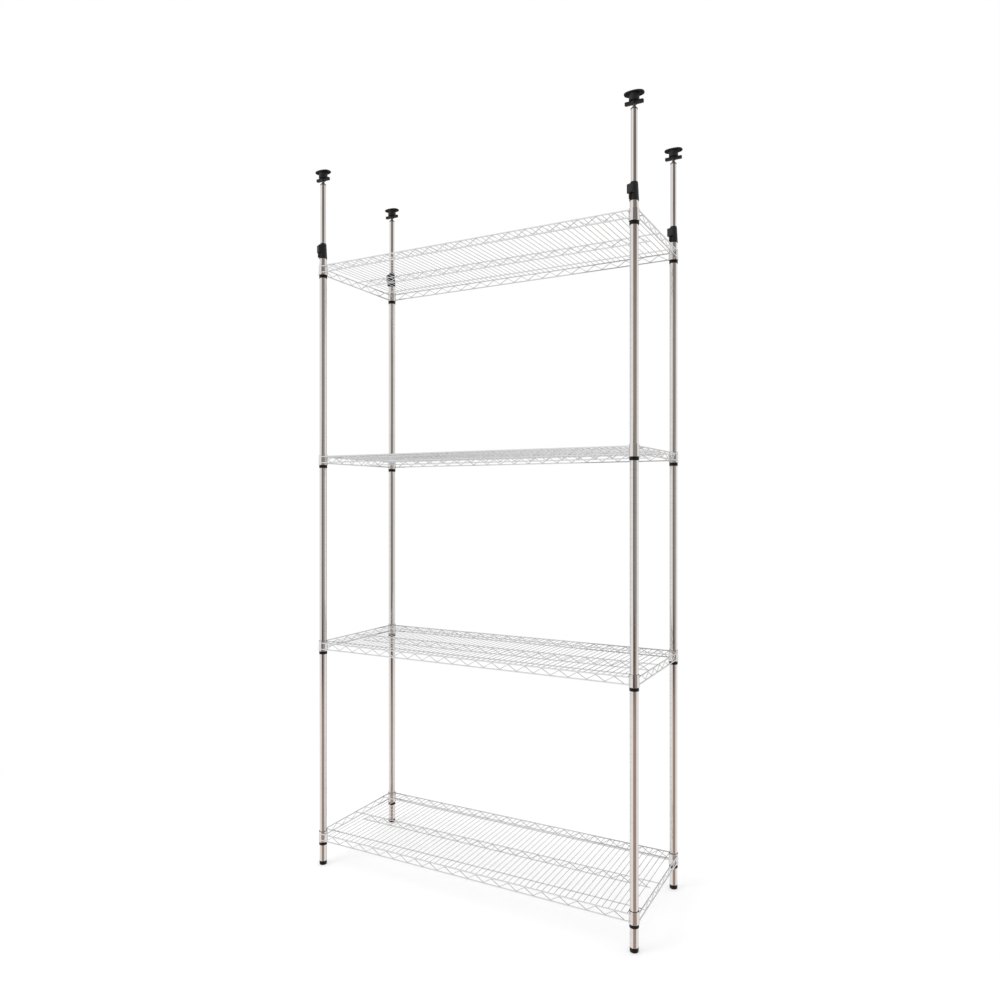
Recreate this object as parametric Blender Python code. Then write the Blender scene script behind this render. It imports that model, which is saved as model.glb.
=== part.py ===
"""Floor-to-ceiling wire shelving unit.

Four chrome tube posts stand on plug feet and carry four welded wire shelves on tapered split sleeves.
A telescopic pole slides in the top of every post, is held there by a lever clamp, and ends in a jack screw
with a wing handle and a ceiling pad.

Units are metres, +Z is up and -Y is the front. The origin is on the floor under the middle of the unit.
"""
import math
from itertools import accumulate

import bmesh
import bpy

# Layout
POST_SPACING_X = 1.165
POST_SPACING_Y = 0.4193
LOWEST_SHELF = 0.0716
LOWER_BAY = 0.6864
MIDDLE_BAY = 0.6701
UPPER_BAY = 0.6845
CLAMP_STANDOFF = 0.0212

# Fits
FIT_GAP = 0.0003
TURNING_GAP = 0.0004
WELD_BITE = 0.0007

# Posts and feet
POST_DIAMETER = 0.0250
POST_WALL = 0.0012
FOOT_HEIGHT = 0.014
FOOT_LIP = 0.0005
FOOT_ROUND = 0.003
FOOT_SPIGOT = 0.020

# Split sleeves and the shelf collars that wedge down on them
SLEEVE_TOP_WALL = 0.0008
SLEEVE_FOOT_WALL = 0.0014
SLEEVE_LOWER_BAND = 0.011
SLEEVE_UPPER_BAND = 0.0008
SLEEVE_SLIT = 0.002
COLLAR_HEIGHT = 0.037
COLLAR_TOP_WALL = 0.0009
COLLAR_FOOT_WALL = 0.0016

# Shelf wires
CHORD_WIRE = 0.0040
RAIL_WIRE = 0.0036
ZIGZAG_WIRE = 0.0026
DECK_WIRE = 0.0020
DECK_PITCH = 0.0195
DECK_WIRES_PER_ZIGZAG = 3
CHORD_BELOW_RIM = 0.0071
EDGE_TRUSS_HEIGHT = 0.0220
MID_TRUSS_HEIGHT = 0.0205
RAIL_INSET = 0.0513
MID_CHORD_OVERHANG = 0.011
WELD_EVERY = 6

# Telescopic poles
POLE_PLAY = 0.0018
POLE_WALL = 0.0012
POLE_INSERTED = 0.250
POLE_EXPOSED = 0.211
BUSH_RIM = 0.006
BUSH_SPIGOT = 0.016
CAP_RIM = 0.003
CAP_LIP = 0.0010
CAP_NECK = 0.003
CAP_NECK_WALL = 0.0022
CAP_SPIGOT = 0.012

# Lever clamps
CLAMP_HEIGHT = 0.055
CLAMP_SOCKET = 0.012
CLAMP_FOOT_WALL = 0.0014
CLAMP_TOP_WALL = 0.0010
CLAMP_CONE = 0.005
CLAMP_SHOULDER_WALL = 0.0018
EAR_THICKNESS = 0.0020
EAR_WALL = 0.0010
EAR_DROP = 0.0243
LEVER_LENGTH = 0.0451
LEVER_WIDTH = 0.0148
LEVER_THICKNESS = 0.0054
LEVER_STANDOFF = 0.0004
LEVER_TAIL_WIDTH = 0.004
LEVER_TAIL_THICKNESS = 0.0050
TRUNNION_DIAMETER = 0.0024
PIVOT_BELOW_TOP = 0.0102

# How far the levers are turned from the left side towards the front
CLAMP_TURN = math.radians(60)

# Jack screws, wing handles and ceiling pads
SCREW_DIAMETER = 0.010
SCREW_EXPOSED = 0.0095
SCREW_IN_POLE = 0.055
SCREW_IN_PAD = 0.008
HANDLE_LENGTH = 0.057
HANDLE_WIDTH = 0.0106
HANDLE_HEIGHT = 0.009
HANDLE_ROUND = 0.003
HANDLE_HUB_WALL = 0.0037
BOSS_DIAMETER = 0.0308
BOSS_HEIGHT = 0.0198
PAD_LENGTH = 0.0608
PAD_WIDTH = 0.0385
PAD_THICKNESS = 0.004
PAD_EDGE_DRAFT = 0.0008

# The pad's outline: 2 is an ellipse, and more is fuller towards the corners
PAD_FULLNESS = 2.4

# Facets
ROUND_SIDES = 12
OVAL_SIDES = 24
TRUNNION_SIDES = 8
HALF_TURN_STEPS = 6
CORNER_STEPS = 3
SMOOTH_BELOW = math.radians(35)

# Worked out from the sizes above
POST_RADIUS = POST_DIAMETER / 2
POST_BORE = POST_RADIUS - POST_WALL
POST_FOOT = FOOT_HEIGHT + FIT_GAP
SLEEVE_BORE = POST_RADIUS + FIT_GAP
SLEEVE_HEIGHT = SLEEVE_LOWER_BAND + COLLAR_HEIGHT + SLEEVE_UPPER_BAND
COLLAR_TOP = SLEEVE_LOWER_BAND + COLLAR_HEIGHT
SHELF_LEVELS = list(accumulate((LOWEST_SHELF, LOWER_BAY, MIDDLE_BAY, UPPER_BAY)))
CLAMP_FOOT = SHELF_LEVELS[-1] + SLEEVE_HEIGHT + CLAMP_STANDOFF
CLAMP_TOP = CLAMP_FOOT + CLAMP_HEIGHT
POST_TOP = CLAMP_FOOT + CLAMP_SOCKET - FIT_GAP
POLE_RADIUS = POST_BORE - POLE_PLAY
POLE_BORE = POLE_RADIUS - POLE_WALL
POLE_TOP = CLAMP_TOP + POLE_EXPOSED
POLE_FOOT = POST_TOP - POLE_INSERTED
CAP_TOP = POLE_TOP + FIT_GAP + CAP_RIM + CAP_NECK
HANDLE_FOOT = CAP_TOP + SCREW_EXPOSED
BOSS_FOOT = HANDLE_FOOT + HANDLE_HEIGHT + FIT_GAP
SCREW_RADIUS = SCREW_DIAMETER / 2
SCREW_HOLE = (SCREW_RADIUS + TURNING_GAP) / math.cos(math.pi / ROUND_SIDES)
ZIGZAG_HALF_PITCH = DECK_PITCH * DECK_WIRES_PER_ZIGZAG / 2
CLAMP_FOOT_RADIUS = POST_RADIUS + FIT_GAP + CLAMP_FOOT_WALL
CLAMP_SHOULDER_RADIUS = POLE_RADIUS + FIT_GAP + CLAMP_SHOULDER_WALL
CLAMP_SHOULDER = CLAMP_HEIGHT - CLAMP_CONE
PIVOT_HEIGHT = CLAMP_HEIGHT - PIVOT_BELOW_TOP
LEVER_DROP = LEVER_LENGTH - LEVER_THICKNESS / 2
EAR_HOLE = (TRUNNION_DIAMETER / 2 + TURNING_GAP) / math.cos(math.pi / TRUNNION_SIDES)
EAR_MARGIN = EAR_HOLE + EAR_WALL
EAR_INNER = LEVER_WIDTH / 2 + FIT_GAP
EAR_OUTER = EAR_INNER + EAR_THICKNESS
CORNERS = {
    "front_left": (-1, -1),
    "front_right": (1, -1),
    "rear_left": (-1, 1),
    "rear_right": (1, 1),
}


def sleeve_radius(height):
    """Outer radius of the tapered sleeve at a height above its lower edge."""
    taper = (SLEEVE_FOOT_WALL - SLEEVE_TOP_WALL) * height / SLEEVE_HEIGHT
    return SLEEVE_BORE + SLEEVE_FOOT_WALL - taper


def clamp_radius(height):
    """Outer radius of the clamp housing at a height between its foot and its shoulder."""
    taper = (CLAMP_FOOT_RADIUS - CLAMP_SHOULDER_RADIUS) * height / CLAMP_SHOULDER
    return CLAMP_FOOT_RADIUS - taper


COLLAR_FOOT_BORE = sleeve_radius(SLEEVE_LOWER_BAND) + FIT_GAP
COLLAR_TOP_BORE = sleeve_radius(COLLAR_TOP) + FIT_GAP
COLLAR_RADIUS = COLLAR_FOOT_BORE + COLLAR_FOOT_WALL
PIVOT_OFFSET = clamp_radius(PIVOT_HEIGHT - LEVER_DROP) + LEVER_STANDOFF + LEVER_THICKNESS / 2
EAR_REACH = PIVOT_OFFSET + EAR_MARGIN

# The ears reach further forward than the pads reach back, so the posts stand this far behind the box's middle
FRONT_REACH = EAR_REACH * math.sin(CLAMP_TURN) + EAR_OUTER * math.cos(CLAMP_TURN)
POSTS_BACK = max(0, FRONT_REACH - PAD_WIDTH / 2) / 2


def clear_scene():
    """Remove whatever the scene holds."""
    for item in list(bpy.data.objects):
        bpy.data.objects.remove(item, do_unlink=True)


def make_material(name, colour, metallic, roughness):
    """A Principled material with a plain colour."""
    material = bpy.data.materials.new(name)
    material.use_nodes = True
    shader = material.node_tree.nodes["Principled BSDF"]
    shader.inputs["Base Color"].default_value = (*colour, 1.0)
    shader.inputs["Metallic"].default_value = metallic
    shader.inputs["Roughness"].default_value = roughness
    material.diffuse_color = (*colour, 1.0)
    return material


def circle(radius, height, sides=ROUND_SIDES):
    """Points of a level circle, with a flat and not a corner towards +X."""
    turns = [(step + 0.5) * math.tau / sides for step in range(sides)]
    return [(radius * math.cos(turn), radius * math.sin(turn), height) for turn in turns]


def handle_outline(height):
    """Points of the handle's level outline, a bar along X with rounded corners."""
    reach_x = HANDLE_LENGTH / 2 - HANDLE_ROUND
    reach_y = HANDLE_WIDTH / 2 - HANDLE_ROUND
    points = []
    for quarter, (side_x, side_y) in enumerate(((1, 1), (-1, 1), (-1, -1), (1, -1))):
        for step in range(CORNER_STEPS + 1):
            turn = (quarter + step / CORNER_STEPS) * math.pi / 2
            points.append((
                side_x * reach_x + HANDLE_ROUND * math.cos(turn),
                side_y * reach_y + HANDLE_ROUND * math.sin(turn),
                height,
            ))
    return points


def pad_outline(draft, height):
    """Points of the pad's level outline, an oval along X drawn in by the draft."""
    points = []
    for step in range(OVAL_SIDES):
        turn = step * math.tau / OVAL_SIDES
        reaches = []
        for size, share in ((PAD_LENGTH, math.cos(turn)), (PAD_WIDTH, math.sin(turn))):
            reaches.append((size / 2 - draft) * math.copysign(abs(share) ** (2 / PAD_FULLNESS), share))
        points.append((*reaches, height))
    return points


def skin(mesh, sections, closed=False):
    """Join rows of points into one closed skin, capped at both ends unless the last row meets the first."""
    rows = [[mesh.verts.new(point) for point in section] for section in sections]
    pairs = list(zip(rows, rows[1:]))
    if closed:
        pairs.append((rows[-1], rows[0]))
    else:
        mesh.faces.new(rows[0])
        mesh.faces.new(rows[-1])
    for lower, upper in pairs:
        for index in range(len(lower)):
            after = (index + 1) % len(lower)
            mesh.faces.new((lower[index], lower[after], upper[after], upper[index]))


def finished(mesh, name):
    """Turn a working mesh into a named mesh whose faces point outwards."""
    bmesh.ops.recalc_face_normals(mesh, faces=mesh.faces)
    data = bpy.data.meshes.new(name)
    mesh.to_mesh(data)
    mesh.free()
    return data


def solid(name, sections, closed=False):
    """One closed skin as a named mesh."""
    mesh = bmesh.new()
    skin(mesh, sections, closed)
    return finished(mesh, name)


def turned(name, outline, closed=False):
    """A round mesh about Z from (radius, height) points; a closed outline makes a tube."""
    return solid(name, [circle(radius, height) for radius, height in outline], closed)


def combined(name, base, joined=(), cut=()):
    """Unite closed meshes, then cut others away, and keep the result as one mesh."""
    collection = bpy.context.scene.collection
    body = bpy.data.objects.new(name, base)
    collection.objects.link(body)
    helpers = [body]
    for operation, tools in (("UNION", joined), ("DIFFERENCE", cut)):
        for tool in tools:
            helper = bpy.data.objects.new(tool.name, tool)
            collection.objects.link(helper)
            helpers.append(helper)
            step = body.modifiers.new(tool.name, "BOOLEAN")
            step.operation = operation
            step.solver = "EXACT"
            step.object = helper
    depsgraph = bpy.context.evaluated_depsgraph_get()
    result = bpy.data.meshes.new_from_object(body.evaluated_get(depsgraph))
    result.name = name
    for helper in helpers:
        bpy.data.objects.remove(helper, do_unlink=True)
    return result


def place(name, mesh, material, location, turn=0):
    """Put one named piece into the scene, turned about its own upright axis."""
    mesh.shade_smooth()
    mesh.set_sharp_from_angle(angle=SMOOTH_BELOW)
    mesh.materials.clear()
    mesh.materials.append(material)
    piece = bpy.data.objects.new(name, mesh)
    piece.location = location
    piece.rotation_euler.z = turn
    bpy.context.scene.collection.objects.link(piece)


def bar(mesh, start, end, width):
    """Add a square bar along X or Y to a working mesh."""
    half = width / 2
    along_x = start[0] != end[0]
    sections = []
    for x, y, z in (start, end):
        corners = ((-half, -half), (half, -half), (half, half), (-half, half))
        if along_x:
            sections.append([(x, y + side, z + rise) for side, rise in corners])
        else:
            sections.append([(x + side, y, z + rise) for side, rise in corners])
    skin(mesh, sections)


def foot_mesh():
    """Moulded plug foot: a rounded pad under the post and a spigot in its bore."""
    radius = POST_RADIUS + FOOT_LIP
    spigot = POST_BORE - FIT_GAP
    outline = (
        (radius - FOOT_ROUND, 0),
        (radius, FOOT_ROUND),
        (radius, FOOT_HEIGHT),
        (spigot, FOOT_HEIGHT),
        (spigot, FOOT_HEIGHT + FOOT_SPIGOT),
    )
    return turned("foot", outline)


def tube_mesh(name, outer, inner, length):
    """Plain round tube standing on its origin."""
    return turned(name, ((inner, 0), (outer, 0), (outer, length), (inner, length)), closed=True)


def sleeve_mesh():
    """Tapered sleeve round the post, open along one slit."""
    outline = (
        (SLEEVE_BORE, 0),
        (sleeve_radius(0), 0),
        (sleeve_radius(SLEEVE_HEIGHT), SLEEVE_HEIGHT),
        (SLEEVE_BORE, SLEEVE_HEIGHT),
    )
    slit = SLEEVE_SLIT / SLEEVE_BORE
    step = math.tau / ROUND_SIDES
    inner_turns = [step * (index + 0.5) for index in range(ROUND_SIDES)]
    turns = [slit / 2, *inner_turns, math.tau - slit / 2]
    flat = math.cos(step / 2)
    sections = []
    for turn in turns:
        on_flat = turn < inner_turns[0] or turn > inner_turns[-1]
        reach = flat / math.cos(turn) if on_flat else 1.0
        sections.append([
            (radius * reach * math.cos(turn), radius * reach * math.sin(turn), height)
            for radius, height in outline
        ])
    return solid("sleeve", sections)


def zigzag(mesh, chord_gap, reach, to_world):
    """Add a zigzag wire between two chords.

    The wire has an upper apex in the middle. Every few apexes, and both ends, are welded into a chord, and
    the others lie just clear of it. chord_gap is the free height between the chords, centred on zero, reach
    is half the free length, and to_world turns (along, outward, height) into a point of the shelf.
    """
    count = int(reach / ZIGZAG_HALF_PITCH)
    radius = ZIGZAG_WIRE / 2
    slope = math.atan2(chord_gap - ZIGZAG_WIRE, ZIGZAG_HALF_PITCH)
    tip = radius * math.cos(math.radians(30)) / math.cos(slope)
    path = []
    for index in range(-count, count + 1):
        bite = -FIT_GAP
        if index % WELD_EVERY == 0:
            bite = WELD_BITE
        if abs(index) == count:
            bite = WELD_BITE + tip
        rise = chord_gap / 2 - tip + bite
        path.append((index * ZIGZAG_HALF_PITCH, rise if index % 2 == 0 else -rise))
    leans = [math.atan2(b[1] - a[1], b[0] - a[0]) for a, b in zip(path, path[1:])]
    sections = []
    for (along, height), lean_in, lean_out in zip(path, leans[:1] + leans, leans + leans[-1:]):
        lean = (lean_in + lean_out) / 2
        mitre = 1 / math.cos((lean_out - lean_in) / 2)
        section = []
        for turn in (math.radians(90), math.radians(210), math.radians(330)):
            across = radius * math.cos(turn) * mitre
            section.append(to_world(
                along - across * math.sin(lean),
                radius * math.sin(turn),
                height + across * math.cos(lean),
            ))
        sections.append(section)
    skin(mesh, sections)


def shelf_mesh():
    """One welded shelf: collars, edge trusses, rails, middle truss and deck wires.

    Heights count from the lower edge of the sleeves that carry the shelf.
    """
    half_x = POST_SPACING_X / 2
    half_y = POST_SPACING_Y / 2
    clear_x = half_x - COLLAR_RADIUS
    clear_y = half_y - COLLAR_RADIUS
    truss_offset = COLLAR_RADIUS - CHORD_WIRE / 2
    edge_x = half_x + truss_offset
    edge_y = half_y + truss_offset
    top = COLLAR_TOP - CHORD_BELOW_RIM
    low = top - EDGE_TRUSS_HEIGHT
    rail = top - CHORD_WIRE / 2 - RAIL_WIRE / 2 + WELD_BITE
    mid_low = rail - MID_TRUSS_HEIGHT
    deck = rail + RAIL_WIRE / 2 + FIT_GAP + DECK_WIRE / 2

    chords = bmesh.new()
    for height in (top, low):
        for side in (-1, 1):
            bar(chords, (-half_x, side * edge_y, height), (half_x, side * edge_y, height), CHORD_WIRE)
            bar(chords, (side * edge_x, -half_y, height), (side * edge_x, half_y, height), CHORD_WIRE)

    collars = bmesh.new()
    bores = bmesh.new()
    for side_x, side_y in CORNERS.values():
        for mesh, outline in (
            (collars, (
                (COLLAR_RADIUS, SLEEVE_LOWER_BAND),
                (COLLAR_TOP_BORE + COLLAR_TOP_WALL, COLLAR_TOP),
            )),
            (bores, (
                (sleeve_radius(0) + FIT_GAP, 0),
                (sleeve_radius(SLEEVE_HEIGHT) + FIT_GAP, SLEEVE_HEIGHT),
            )),
        ):
            skin(mesh, [
                [(x + side_x * half_x, y + side_y * half_y, z) for x, y, z in circle(radius, height)]
                for radius, height in outline
            ])

    rails = bmesh.new()
    for y in (RAIL_INSET - edge_y, 0, edge_y - RAIL_INSET):
        bar(rails, (-edge_x, y, rail), (edge_x, y, rail), RAIL_WIRE)
    mid_end = int(clear_x / ZIGZAG_HALF_PITCH) * ZIGZAG_HALF_PITCH + MID_CHORD_OVERHANG
    bar(rails, (-mid_end, 0, mid_low), (mid_end, 0, mid_low), RAIL_WIRE)

    zigzags = bmesh.new()
    edge_gap = EDGE_TRUSS_HEIGHT - CHORD_WIRE
    edge_middle = (top + low) / 2
    for side in (-1, 1):
        zigzag(zigzags, edge_gap, clear_x,
               lambda along, out, height: (along, side * (edge_y + out), edge_middle + height))
        zigzag(zigzags, edge_gap, clear_y,
               lambda along, out, height: (side * (edge_x + out), along, edge_middle + height))
    mid_middle = (rail + mid_low) / 2
    zigzag(zigzags, MID_TRUSS_HEIGHT - RAIL_WIRE, clear_x,
           lambda along, out, height: (along, out, mid_middle + height))

    decking = bmesh.new()
    half = DECK_WIRE / 2
    count = int(clear_x / DECK_PITCH)
    for index in range(-count, count + 1):
        x = index * DECK_PITCH
        skin(decking, [
            [(x - half, y, deck + half), (x + half, y, deck + half), (x, y, deck - half)]
            for y in (-edge_y, edge_y)
        ])

    joined = [
        finished(collars, "collars"),
        finished(rails, "rails"),
        finished(zigzags, "zigzags"),
        finished(decking, "decking"),
    ]
    return combined("shelf", finished(chords, "chords"), joined, [finished(bores, "bores")])


def clamp_mesh():
    """Clamp housing on the post top, with two ears on its -X side that the lever hangs between.

    The ears run in to the pole, and the pole's bore is cut again after they are joined on.
    """
    post_bore = POST_RADIUS + FIT_GAP
    pole_bore = POLE_RADIUS + FIT_GAP
    housing = turned("housing", (
        (post_bore, 0),
        (CLAMP_FOOT_RADIUS, 0),
        (CLAMP_SHOULDER_RADIUS, CLAMP_SHOULDER),
        (pole_bore + CLAMP_TOP_WALL, CLAMP_HEIGHT),
        (pole_bore, CLAMP_HEIGHT),
        (pole_bore, CLAMP_SOCKET),
        (post_bore, CLAMP_SOCKET),
    ), closed=True)
    ear_outline = (
        (-EAR_REACH, PIVOT_HEIGHT - EAR_DROP),
        (0, PIVOT_HEIGHT - EAR_DROP),
        (0, PIVOT_HEIGHT + EAR_MARGIN),
        (-EAR_REACH, PIVOT_HEIGHT + EAR_MARGIN),
    )
    ears = bmesh.new()
    for low, high in ((EAR_INNER, EAR_OUTER), (-EAR_OUTER, -EAR_INNER)):
        skin(ears, [[(x, y, z) for x, z in ear_outline] for y in (low, high)])
    hole = solid("hole", [
        [(x - PIVOT_OFFSET, y, z + PIVOT_HEIGHT) for x, z, _ in circle(EAR_HOLE, 0, TRUNNION_SIDES)]
        for y in (-EAR_OUTER - EAR_THICKNESS, EAR_OUTER + EAR_THICKNESS)
    ])
    bore = turned("bore", ((pole_bore, CLAMP_SOCKET), (pole_bore, CLAMP_HEIGHT + PIVOT_OFFSET)))
    return combined("clamp", housing, [finished(ears, "ears")], [hole, bore])


def lever_mesh():
    """Lever hanging from its pivot at the origin: a head between the ears, a thinner tail and a trunnion."""
    half = LEVER_THICKNESS / 2
    outline = [(-half, -EAR_DROP), (half, -EAR_DROP), (half, 0)]
    for step in range(1, HALF_TURN_STEPS):
        turn = math.pi * step / HALF_TURN_STEPS
        outline.append((half * math.cos(turn), half * math.sin(turn)))
    outline.append((-half, 0))
    head = solid("head", [
        [(x, y, z) for x, z in outline] for y in (-LEVER_WIDTH / 2, LEVER_WIDTH / 2)
    ])
    tail_outline = (
        (half - LEVER_TAIL_THICKNESS, -LEVER_DROP),
        (half, -LEVER_DROP),
        (half, LEVER_TAIL_THICKNESS - EAR_DROP),
        (half - LEVER_TAIL_THICKNESS, LEVER_TAIL_THICKNESS - EAR_DROP),
    )
    tail = solid("tail", [
        [(x, y, z) for x, z in tail_outline] for y in (-LEVER_TAIL_WIDTH / 2, LEVER_TAIL_WIDTH / 2)
    ])
    trunnion = solid("trunnion", [
        [(x, y, z) for x, z, _ in circle(TRUNNION_DIAMETER / 2, 0, TRUNNION_SIDES)]
        for y in (-EAR_OUTER, EAR_OUTER)
    ])
    return combined("lever", head, [tail, trunnion])


def bush_mesh():
    """Guide bush in the pole's lower end that runs in the post's bore."""
    rim = POST_BORE - FIT_GAP
    spigot = POLE_BORE - FIT_GAP
    return turned("bush", (
        (rim, -FIT_GAP - BUSH_RIM),
        (rim, -FIT_GAP),
        (spigot, -FIT_GAP),
        (spigot, BUSH_SPIGOT),
    ))


def cap_mesh():
    """Flange nut in the pole's upper end: a spigot in the tube, a rim over it and a neck round the screw."""
    rim = POLE_RADIUS + CAP_LIP
    spigot = POLE_BORE - FIT_GAP
    neck = SCREW_HOLE + CAP_NECK_WALL
    rim_top = FIT_GAP + CAP_RIM
    return turned("cap", (
        (SCREW_HOLE, -CAP_SPIGOT),
        (spigot, -CAP_SPIGOT),
        (spigot, FIT_GAP),
        (rim, FIT_GAP),
        (rim, rim_top),
        (neck, rim_top),
        (neck, rim_top + CAP_NECK),
        (SCREW_HOLE, rim_top + CAP_NECK),
    ), closed=True)


def handle_mesh():
    """Wing handle: a flat bar and a hub on the screw."""
    wings = solid("wings", [handle_outline(0), handle_outline(HANDLE_HEIGHT)])
    grip = SCREW_RADIUS + FIT_GAP
    hub_radius = grip + HANDLE_HUB_WALL
    hub = turned("hub", ((hub_radius, 0), (hub_radius, HANDLE_HEIGHT)))
    hole = turned("hole", ((grip, -HANDLE_HEIGHT), (grip, 2 * HANDLE_HEIGHT)))
    return combined("handle", wings, [hub], [hole])


def pad_mesh():
    """Oval ceiling pad on a round boss that turns freely on the screw's end."""
    plate = solid("plate", [
        pad_outline(PAD_EDGE_DRAFT, BOSS_HEIGHT),
        pad_outline(0, BOSS_HEIGHT + PAD_THICKNESS / 2),
        pad_outline(0, BOSS_HEIGHT + PAD_THICKNESS),
    ])
    boss = turned("boss", ((BOSS_DIAMETER / 2, 0), (BOSS_DIAMETER / 2, BOSS_HEIGHT + PAD_THICKNESS / 2)))
    socket = turned("socket", ((SCREW_HOLE, -BOSS_HEIGHT), (SCREW_HOLE, SCREW_IN_PAD + FIT_GAP)))
    return combined("pad", plate, [boss], [socket])


def screw_mesh():
    """Jack screw from inside the pole up into the pad's boss, standing on the cap's upper face."""
    top = SCREW_EXPOSED + HANDLE_HEIGHT + FIT_GAP + SCREW_IN_PAD
    return turned("screw", ((SCREW_RADIUS, -SCREW_IN_POLE), (SCREW_RADIUS, top)))


def build():
    """Make every piece and stand it in its place."""
    clear_scene()
    chrome = make_material("chrome_plated_steel", (0.80, 0.80, 0.81), 1.0, 0.12)
    black = make_material("black_nylon", (0.022, 0.022, 0.024), 0.0, 0.45)
    zinc = make_material("zinc_plated_steel", (0.62, 0.62, 0.63), 1.0, 0.30)

    shelf = shelf_mesh()
    for number, level in enumerate(SHELF_LEVELS, start=1):
        place(f"shelf_{number}", shelf, chrome, (0, POSTS_BACK, level))

    pieces = (
        ("foot", foot_mesh(), black, 0),
        ("post", tube_mesh("post", POST_RADIUS, POST_BORE, POST_TOP - POST_FOOT), chrome, POST_FOOT),
        ("pole", tube_mesh("pole", POLE_RADIUS, POLE_BORE, POLE_TOP - POLE_FOOT), chrome, POLE_FOOT),
        ("pole_bush", bush_mesh(), black, POLE_FOOT),
        ("pole_cap", cap_mesh(), zinc, POLE_TOP),
        ("jack_screw", screw_mesh(), zinc, CAP_TOP),
        ("wing_handle", handle_mesh(), black, HANDLE_FOOT),
        ("ceiling_pad", pad_mesh(), black, BOSS_FOOT),
    )
    clamp = clamp_mesh()
    lever = lever_mesh()
    pivot_x = -PIVOT_OFFSET * math.cos(CLAMP_TURN)
    pivot_y = -PIVOT_OFFSET * math.sin(CLAMP_TURN)
    pivot_z = CLAMP_FOOT + PIVOT_HEIGHT
    sleeve = sleeve_mesh()
    for corner, (side_x, side_y) in CORNERS.items():
        x = side_x * POST_SPACING_X / 2
        y = side_y * POST_SPACING_Y / 2 + POSTS_BACK
        for kind, mesh, material, height in pieces:
            place(f"{kind}_{corner}", mesh, material, (x, y, height))
        place(f"clamp_{corner}", clamp, black, (x, y, CLAMP_FOOT), CLAMP_TURN)
        place(f"clamp_lever_{corner}", lever, black, (x + pivot_x, y + pivot_y, pivot_z), CLAMP_TURN)
        slit_turn = 0 if side_x < 0 else math.pi
        for number, level in enumerate(SHELF_LEVELS, start=1):
            place(f"sleeve_{number}_{corner}", sleeve, black, (x, y, level), slit_turn)


build()
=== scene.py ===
"""Looks of the floor-to-ceiling wire shelving unit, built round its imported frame.

Every CAD node is replaced by a finer piece of the same size: ring-grooved chrome posts, welded wire shelves,
split taper sleeves, lever clamps, slide tubes and screw-jack ceiling pads.
Units are metres, +Z is up and -Y is the front.
"""
import logging
import math
from dataclasses import dataclass
from enum import Enum
from typing import Any, Callable, Iterable, Mapping, Sequence

import bmesh
import bpy
from bpy.types import ID, Material, Mesh, Node, NodeSocket, NodeTree, Object
from mathutils import Matrix, Vector


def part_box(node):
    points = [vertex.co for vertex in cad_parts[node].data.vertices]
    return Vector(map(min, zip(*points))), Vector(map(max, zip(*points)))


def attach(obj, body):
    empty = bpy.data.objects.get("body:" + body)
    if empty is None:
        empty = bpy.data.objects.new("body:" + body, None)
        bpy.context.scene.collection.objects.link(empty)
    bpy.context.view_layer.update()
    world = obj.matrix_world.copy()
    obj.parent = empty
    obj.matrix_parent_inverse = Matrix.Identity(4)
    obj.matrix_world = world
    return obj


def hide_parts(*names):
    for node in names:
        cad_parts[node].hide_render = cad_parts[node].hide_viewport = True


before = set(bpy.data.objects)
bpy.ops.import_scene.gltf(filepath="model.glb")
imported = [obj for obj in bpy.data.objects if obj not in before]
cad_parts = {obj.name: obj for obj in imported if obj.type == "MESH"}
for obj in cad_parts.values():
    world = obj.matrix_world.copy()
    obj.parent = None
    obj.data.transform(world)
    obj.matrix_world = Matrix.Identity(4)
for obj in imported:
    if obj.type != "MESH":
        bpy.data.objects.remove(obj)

LOG = logging.getLogger("wire_shelving")

MM = 0.001
ROUND_SIDES = 48
RIB_SIDES = 10
EASE_STEPS = 4
# The most of a side that one rounding takes, and how many roundings a side needs before it gets strips.
EASE_SHARE = 0.48
STRIP_ROOM = 4
SLIVER_SIDES = 4
SAME_POINT = 0.001 * MM
SEAM = 10 * SAME_POINT
SHARP_ABOVE = math.radians(40)
QUARTER_TURN = math.pi / 2
# Gap that keeps the shoulder of a plug from the tube's end, and the depth of a flare for its width.
CLEARANCE = 0.3 * MM
FLARE_SLOPE = 3
MARK_DETAIL = 2.0
# Radians to the unit in Blender's wave texture.
WAVE_RADIANS = 20
WHITE = "#FFFFFF"
NODE_FAMILIES = ("GeometryNode", "ShaderNode", "")
SIDES = (-1, 1)
QUARTERS = tuple((x, y) for x in SIDES for y in SIDES)
ORIGIN = Vector((0, 0, 0))

Point2 = tuple[float, float]
Sizes = tuple[float, ...]
Inputs = Mapping[str | int, Any]


class Corner(Enum):
    """The four posts, seen from the front."""

    FRONT_LEFT = "front_left"
    FRONT_RIGHT = "front_right"
    REAR_LEFT = "rear_left"
    REAR_RIGHT = "rear_right"


class Slot(Enum):
    """Material slots of the record."""

    CHROME = "chrome_plated_steel"
    NYLON = "black_nylon"
    ZINC = "zinc_plated_steel"


def mm(*lengths: float) -> Sizes:
    """Millimetres as metres."""
    return tuple(length * MM for length in lengths)


def linear(code: str) -> Sizes:
    """Linear red, green, blue and alpha of an sRGB hex colour."""
    shares = (int(code[start:start + 2], 16) / 255 for start in (1, 3, 5))
    return *(share / 12.92 if share <= 0.04045 else ((share + 0.055) / 1.055) ** 2.4 for share in shares), 1.0


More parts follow.
